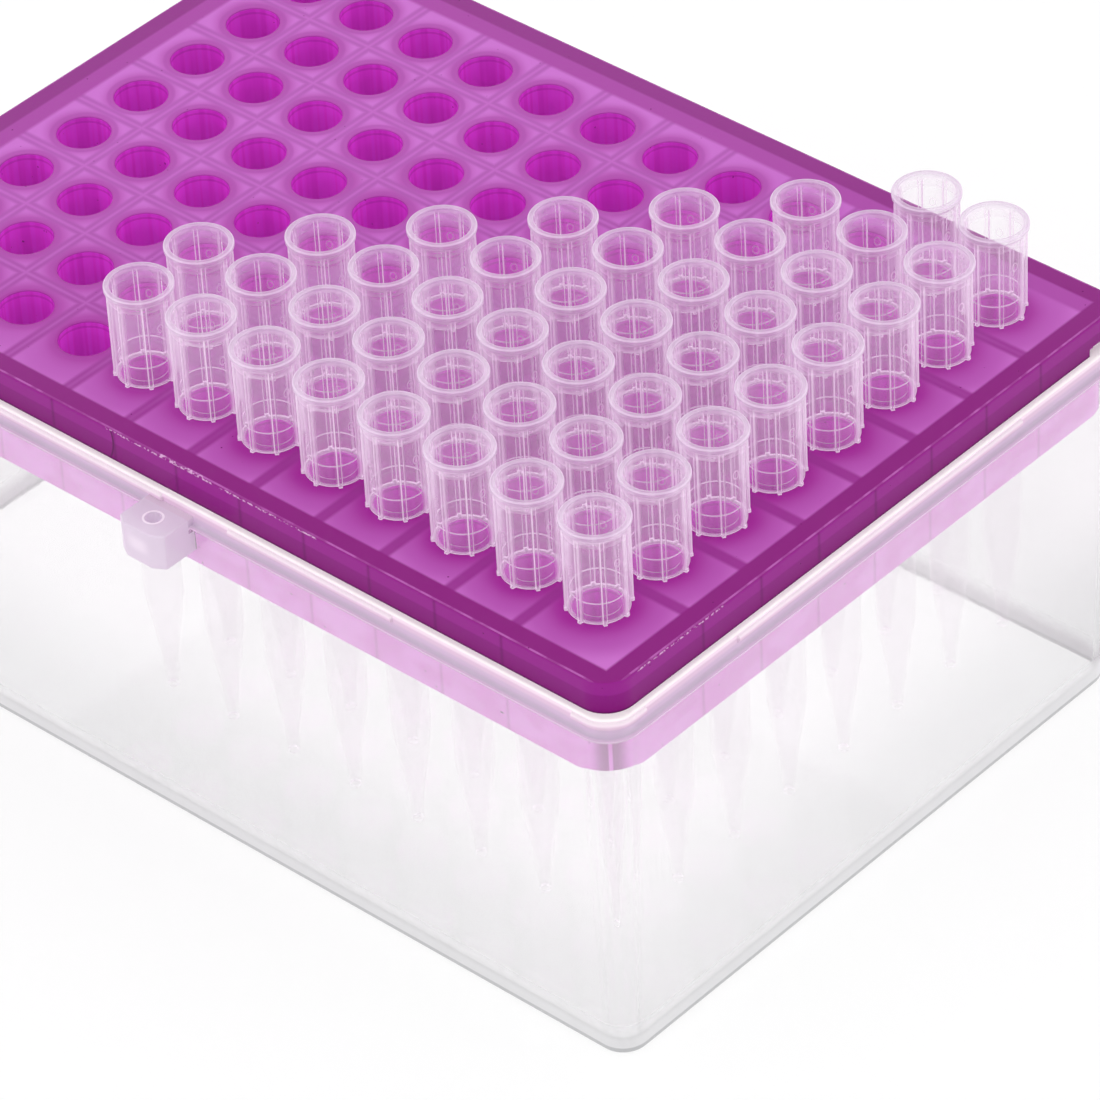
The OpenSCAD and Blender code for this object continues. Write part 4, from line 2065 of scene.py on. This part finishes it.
@dataclass
class Viewpoint:
    """The camera: where it stands, where it looks and its lens."""

    place: Point = (0.4139, -0.4210, 0.4790)
    azimuth: float = 133.587
    elevation: float = -38.3125
    roll: float = -3.2674
    lens: float = 224.459
    sensor: float = 36.0
    clip: Flat = (0.01, 20.0)

    def build(self) -> Object:
        """Set up the camera and make it the scene's.

        Returns:
            The camera.
        """
        ahead = aimed(self.azimuth, self.elevation)
        a, r = math.radians(self.azimuth), math.radians(self.roll)
        level = Vector((math.sin(a), -math.cos(a), 0.0))
        over = level.cross(ahead)
        right = level * math.cos(r) + over * math.sin(r)
        up = over * math.cos(r) - level * math.sin(r)
        data = bpy.data.cameras.new("camera")
        data.lens, data.sensor_width = self.lens, self.sensor
        data.clip_start, data.clip_end = self.clip
        camera = bpy.data.objects.new("camera", data)
        bpy.context.scene.collection.objects.link(camera)
        turned = Matrix((right, up, -ahead)).transposed().to_4x4()
        camera.matrix_world = Matrix.Translation(self.place) @ turned
        bpy.context.scene.camera = camera
        return camera


@dataclass
class Studio:
    """Floor, backdrop and soft light."""

    paper: StudioPaper
    reach: float = 4.0
    floor_z: float = -0.02
    sky: float = 1.0
    lamps: tuple[Softbox, ...] = (
        Softbox("key", 20.0, 35.0, 1.1, (0.9, 0.7), 2.4),
        Softbox("fill", -110.0, 30.0, 1.1, (0.9, 0.7), 2.4),
    )

    def floor(self) -> Object:
        """Lay the floor just under the tub, in wide quads.

        Returns:
            The floor.
        """
        shell = Shell()
        steps = [-self.reach, -self.reach / 4, self.reach / 4, self.reach]
        rows = [shell.ring([(x / MM, y / MM, self.floor_z) for x in steps]) for y in steps]
        for first, second in zip(rows, rows[1:]):
            for k in range(len(steps) - 1):
                shell.faces.append((first[k], first[k + 1], second[k + 1], second[k]))
        mesh = shell.mesh("floor", PLAIN_SHARP)
        floor = show("floor", mesh, self.paper.material())
        floor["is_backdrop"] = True
        return floor

    def world(self) -> None:
        """Give the scene a plain pale sky that shows white to the camera."""
        world = bpy.data.worlds.new("sky")
        bench = ShaderBench(world)
        rays = bench.node("ShaderNodeLightPath").outputs
        seen = Wire(bench, rays["Is Camera Ray"]) | Wire(bench, rays["Is Transmission Ray"])
        ends = {"To Min": self.sky, "To Max": 1.0}
        strength = bench.node("ShaderNodeMapRange", {"Value": seen, **ends}).outputs[0]
        light = bench.node("ShaderNodeBackground", {"Strength": strength}).outputs[0]
        bench.node("ShaderNodeOutputWorld", {"Surface": light})
        bpy.context.scene.world = world

    def build(self) -> None:
        """Set up everything that is not part of the object."""
        self.floor()
        self.world()
        for lamp in self.lamps:
            lamp.build()
        scene = bpy.context.scene
        scene.view_settings.view_transform = "Standard"
        scene.cycles.max_bounces = 8
        scene.cycles.diffuse_bounces = 2
        scene.cycles.transmission_bounces = 8
        scene.cycles.transparent_max_bounces = 40
        scene.cycles.use_light_tree = False
        scene.cycles.adaptive_min_samples = 16
        scene.cycles.adaptive_threshold = 0.05


def report(piece: Object) -> None:
    """Log one finished piece with its face count."""
    LOG.info("%s: %d faces", piece.name, len(piece.data.polygons))


def corners() -> list[list[float]]:
    """Lowest and highest corner of what is shown, as plain lists."""
    return [list(corner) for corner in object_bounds()]


def clear_tub() -> VeilPlastic:
    """Choose the tub's finish: milky foot and rim, and a clear wall between, with painted shade,
    painted highlights and painted pink light from the rack in their colours.

    Returns:
        The finish.
    """
    # The layer colours paint the shading: grey towards the foot, whiter up the wall, a pink tint
    # under the lip and on the flare for light from the purple rack, a dark band above the lip and
    # a highlight up to the ridge and top.
    layers = (
        Layer(0.8, linear(210, 209, 211), 0.95),
        Layer(3.0, linear(230, 230, 231), 0.25, 1.4),
        Layer(18.0, linear(254, 252, 254), 0.24, 12.0),
        Layer(43.1, linear(216, 188, 214), 0.3),
        Layer(43.8, linear(218, 196, 217), 0.7),
        Layer(44.14, linear(190, 170, 194), 0.75, 0.1),
        Layer(44.5, linear(204, 184, 206), 0.75, 0.3),
        Layer(45.1, linear(220, 196, 214), 0.75, 0.25),
        Layer(45.7, linear(240, 224, 234), 0.78, 0.2),
        Layer(46.12, linear(246, 240, 240), 0.8),
    )
    # The grey below the first layer is painted shade at the foot.
    foot = linear(178, 178, 180)
    return VeilPlastic("clear_tub_plastic", foot, 0.95, bends=True, layers=layers, lug=Lug())


def clear_tip() -> Tip:
    """Choose the tip's finishes: a streaky collar with plain ovals, and a clearer shank, both with
    a painted glow.

    Returns:
        The tip.
    """
    collar = VeilPlastic(
        "clear_tip_plastic",
        linear(250, 230, 250),
        0.145,
        layers=(Layer(10.6, linear(230, 209, 232), 0.155),),
        cloud_size=(1.3, 1.3, 14.0),
        cloud=0.07,
        painted_glow=0.11,
        painted_glow_from=-0.3,
        marks=((3.2, -0.5, 7.2), (-1.6, 2.8, 7.6)),
    )
    white = linear(248, 240, 247)
    shank = VeilPlastic(
        "clear_tip_shank",
        white,
        0.06,
        layers=(Layer(-8.2, white, 0.0, 0.2),),
        cloud=0.0,
        painted_glow=0.5,
        painted_glow_from=-0.3,
    )
    return Tip(collar, InnerFace("clear_tip_inside", False), shank)


def purple_rack(wells: Wells) -> PurplePlastic:
    """Choose the rack's finish, which follows the rack's own sizes.

    Args:
        wells: The grid of wells.

    Returns:
        The finish.
    """
    return PurplePlastic(
        "purple_rack_plastic",
        pitch=wells.pitch,
        half_x=wells.half_x,
        half_y=wells.half_y,
        top=Rack.top,
        plate_t=Rack.plate_t,
        flange_z=Rack.top - Rack.flange_h,
        flange_margin=Rack.flange_margin,
        edge_inner=Rack.edge_inner,
        skirt_t=Rack.skirt_t,
        skirt_r=Rack.skirt_r,
        sleeve_r=wells.hole_r + Rack.sleeve_wall,
        well_r=wells.hole_r,
    )


def main() -> None:
    """Build the box from the tub up, then the studio round it."""
    logging.basicConfig(level=logging.INFO, format="%(name)s: %(message)s")
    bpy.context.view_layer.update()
    wells = Wells()
    Viewpoint().build()
    report(Tub(wells, clear_tub(), InnerFace("clear_tub_inside", True)).build())
    report(Rack(wells, purple_rack(wells)).build())
    for tip in Tips(wells, clear_tip()).build():
        report(tip)
    Studio(StudioPaper()).build()


if __name__ == "__main__":
    main()
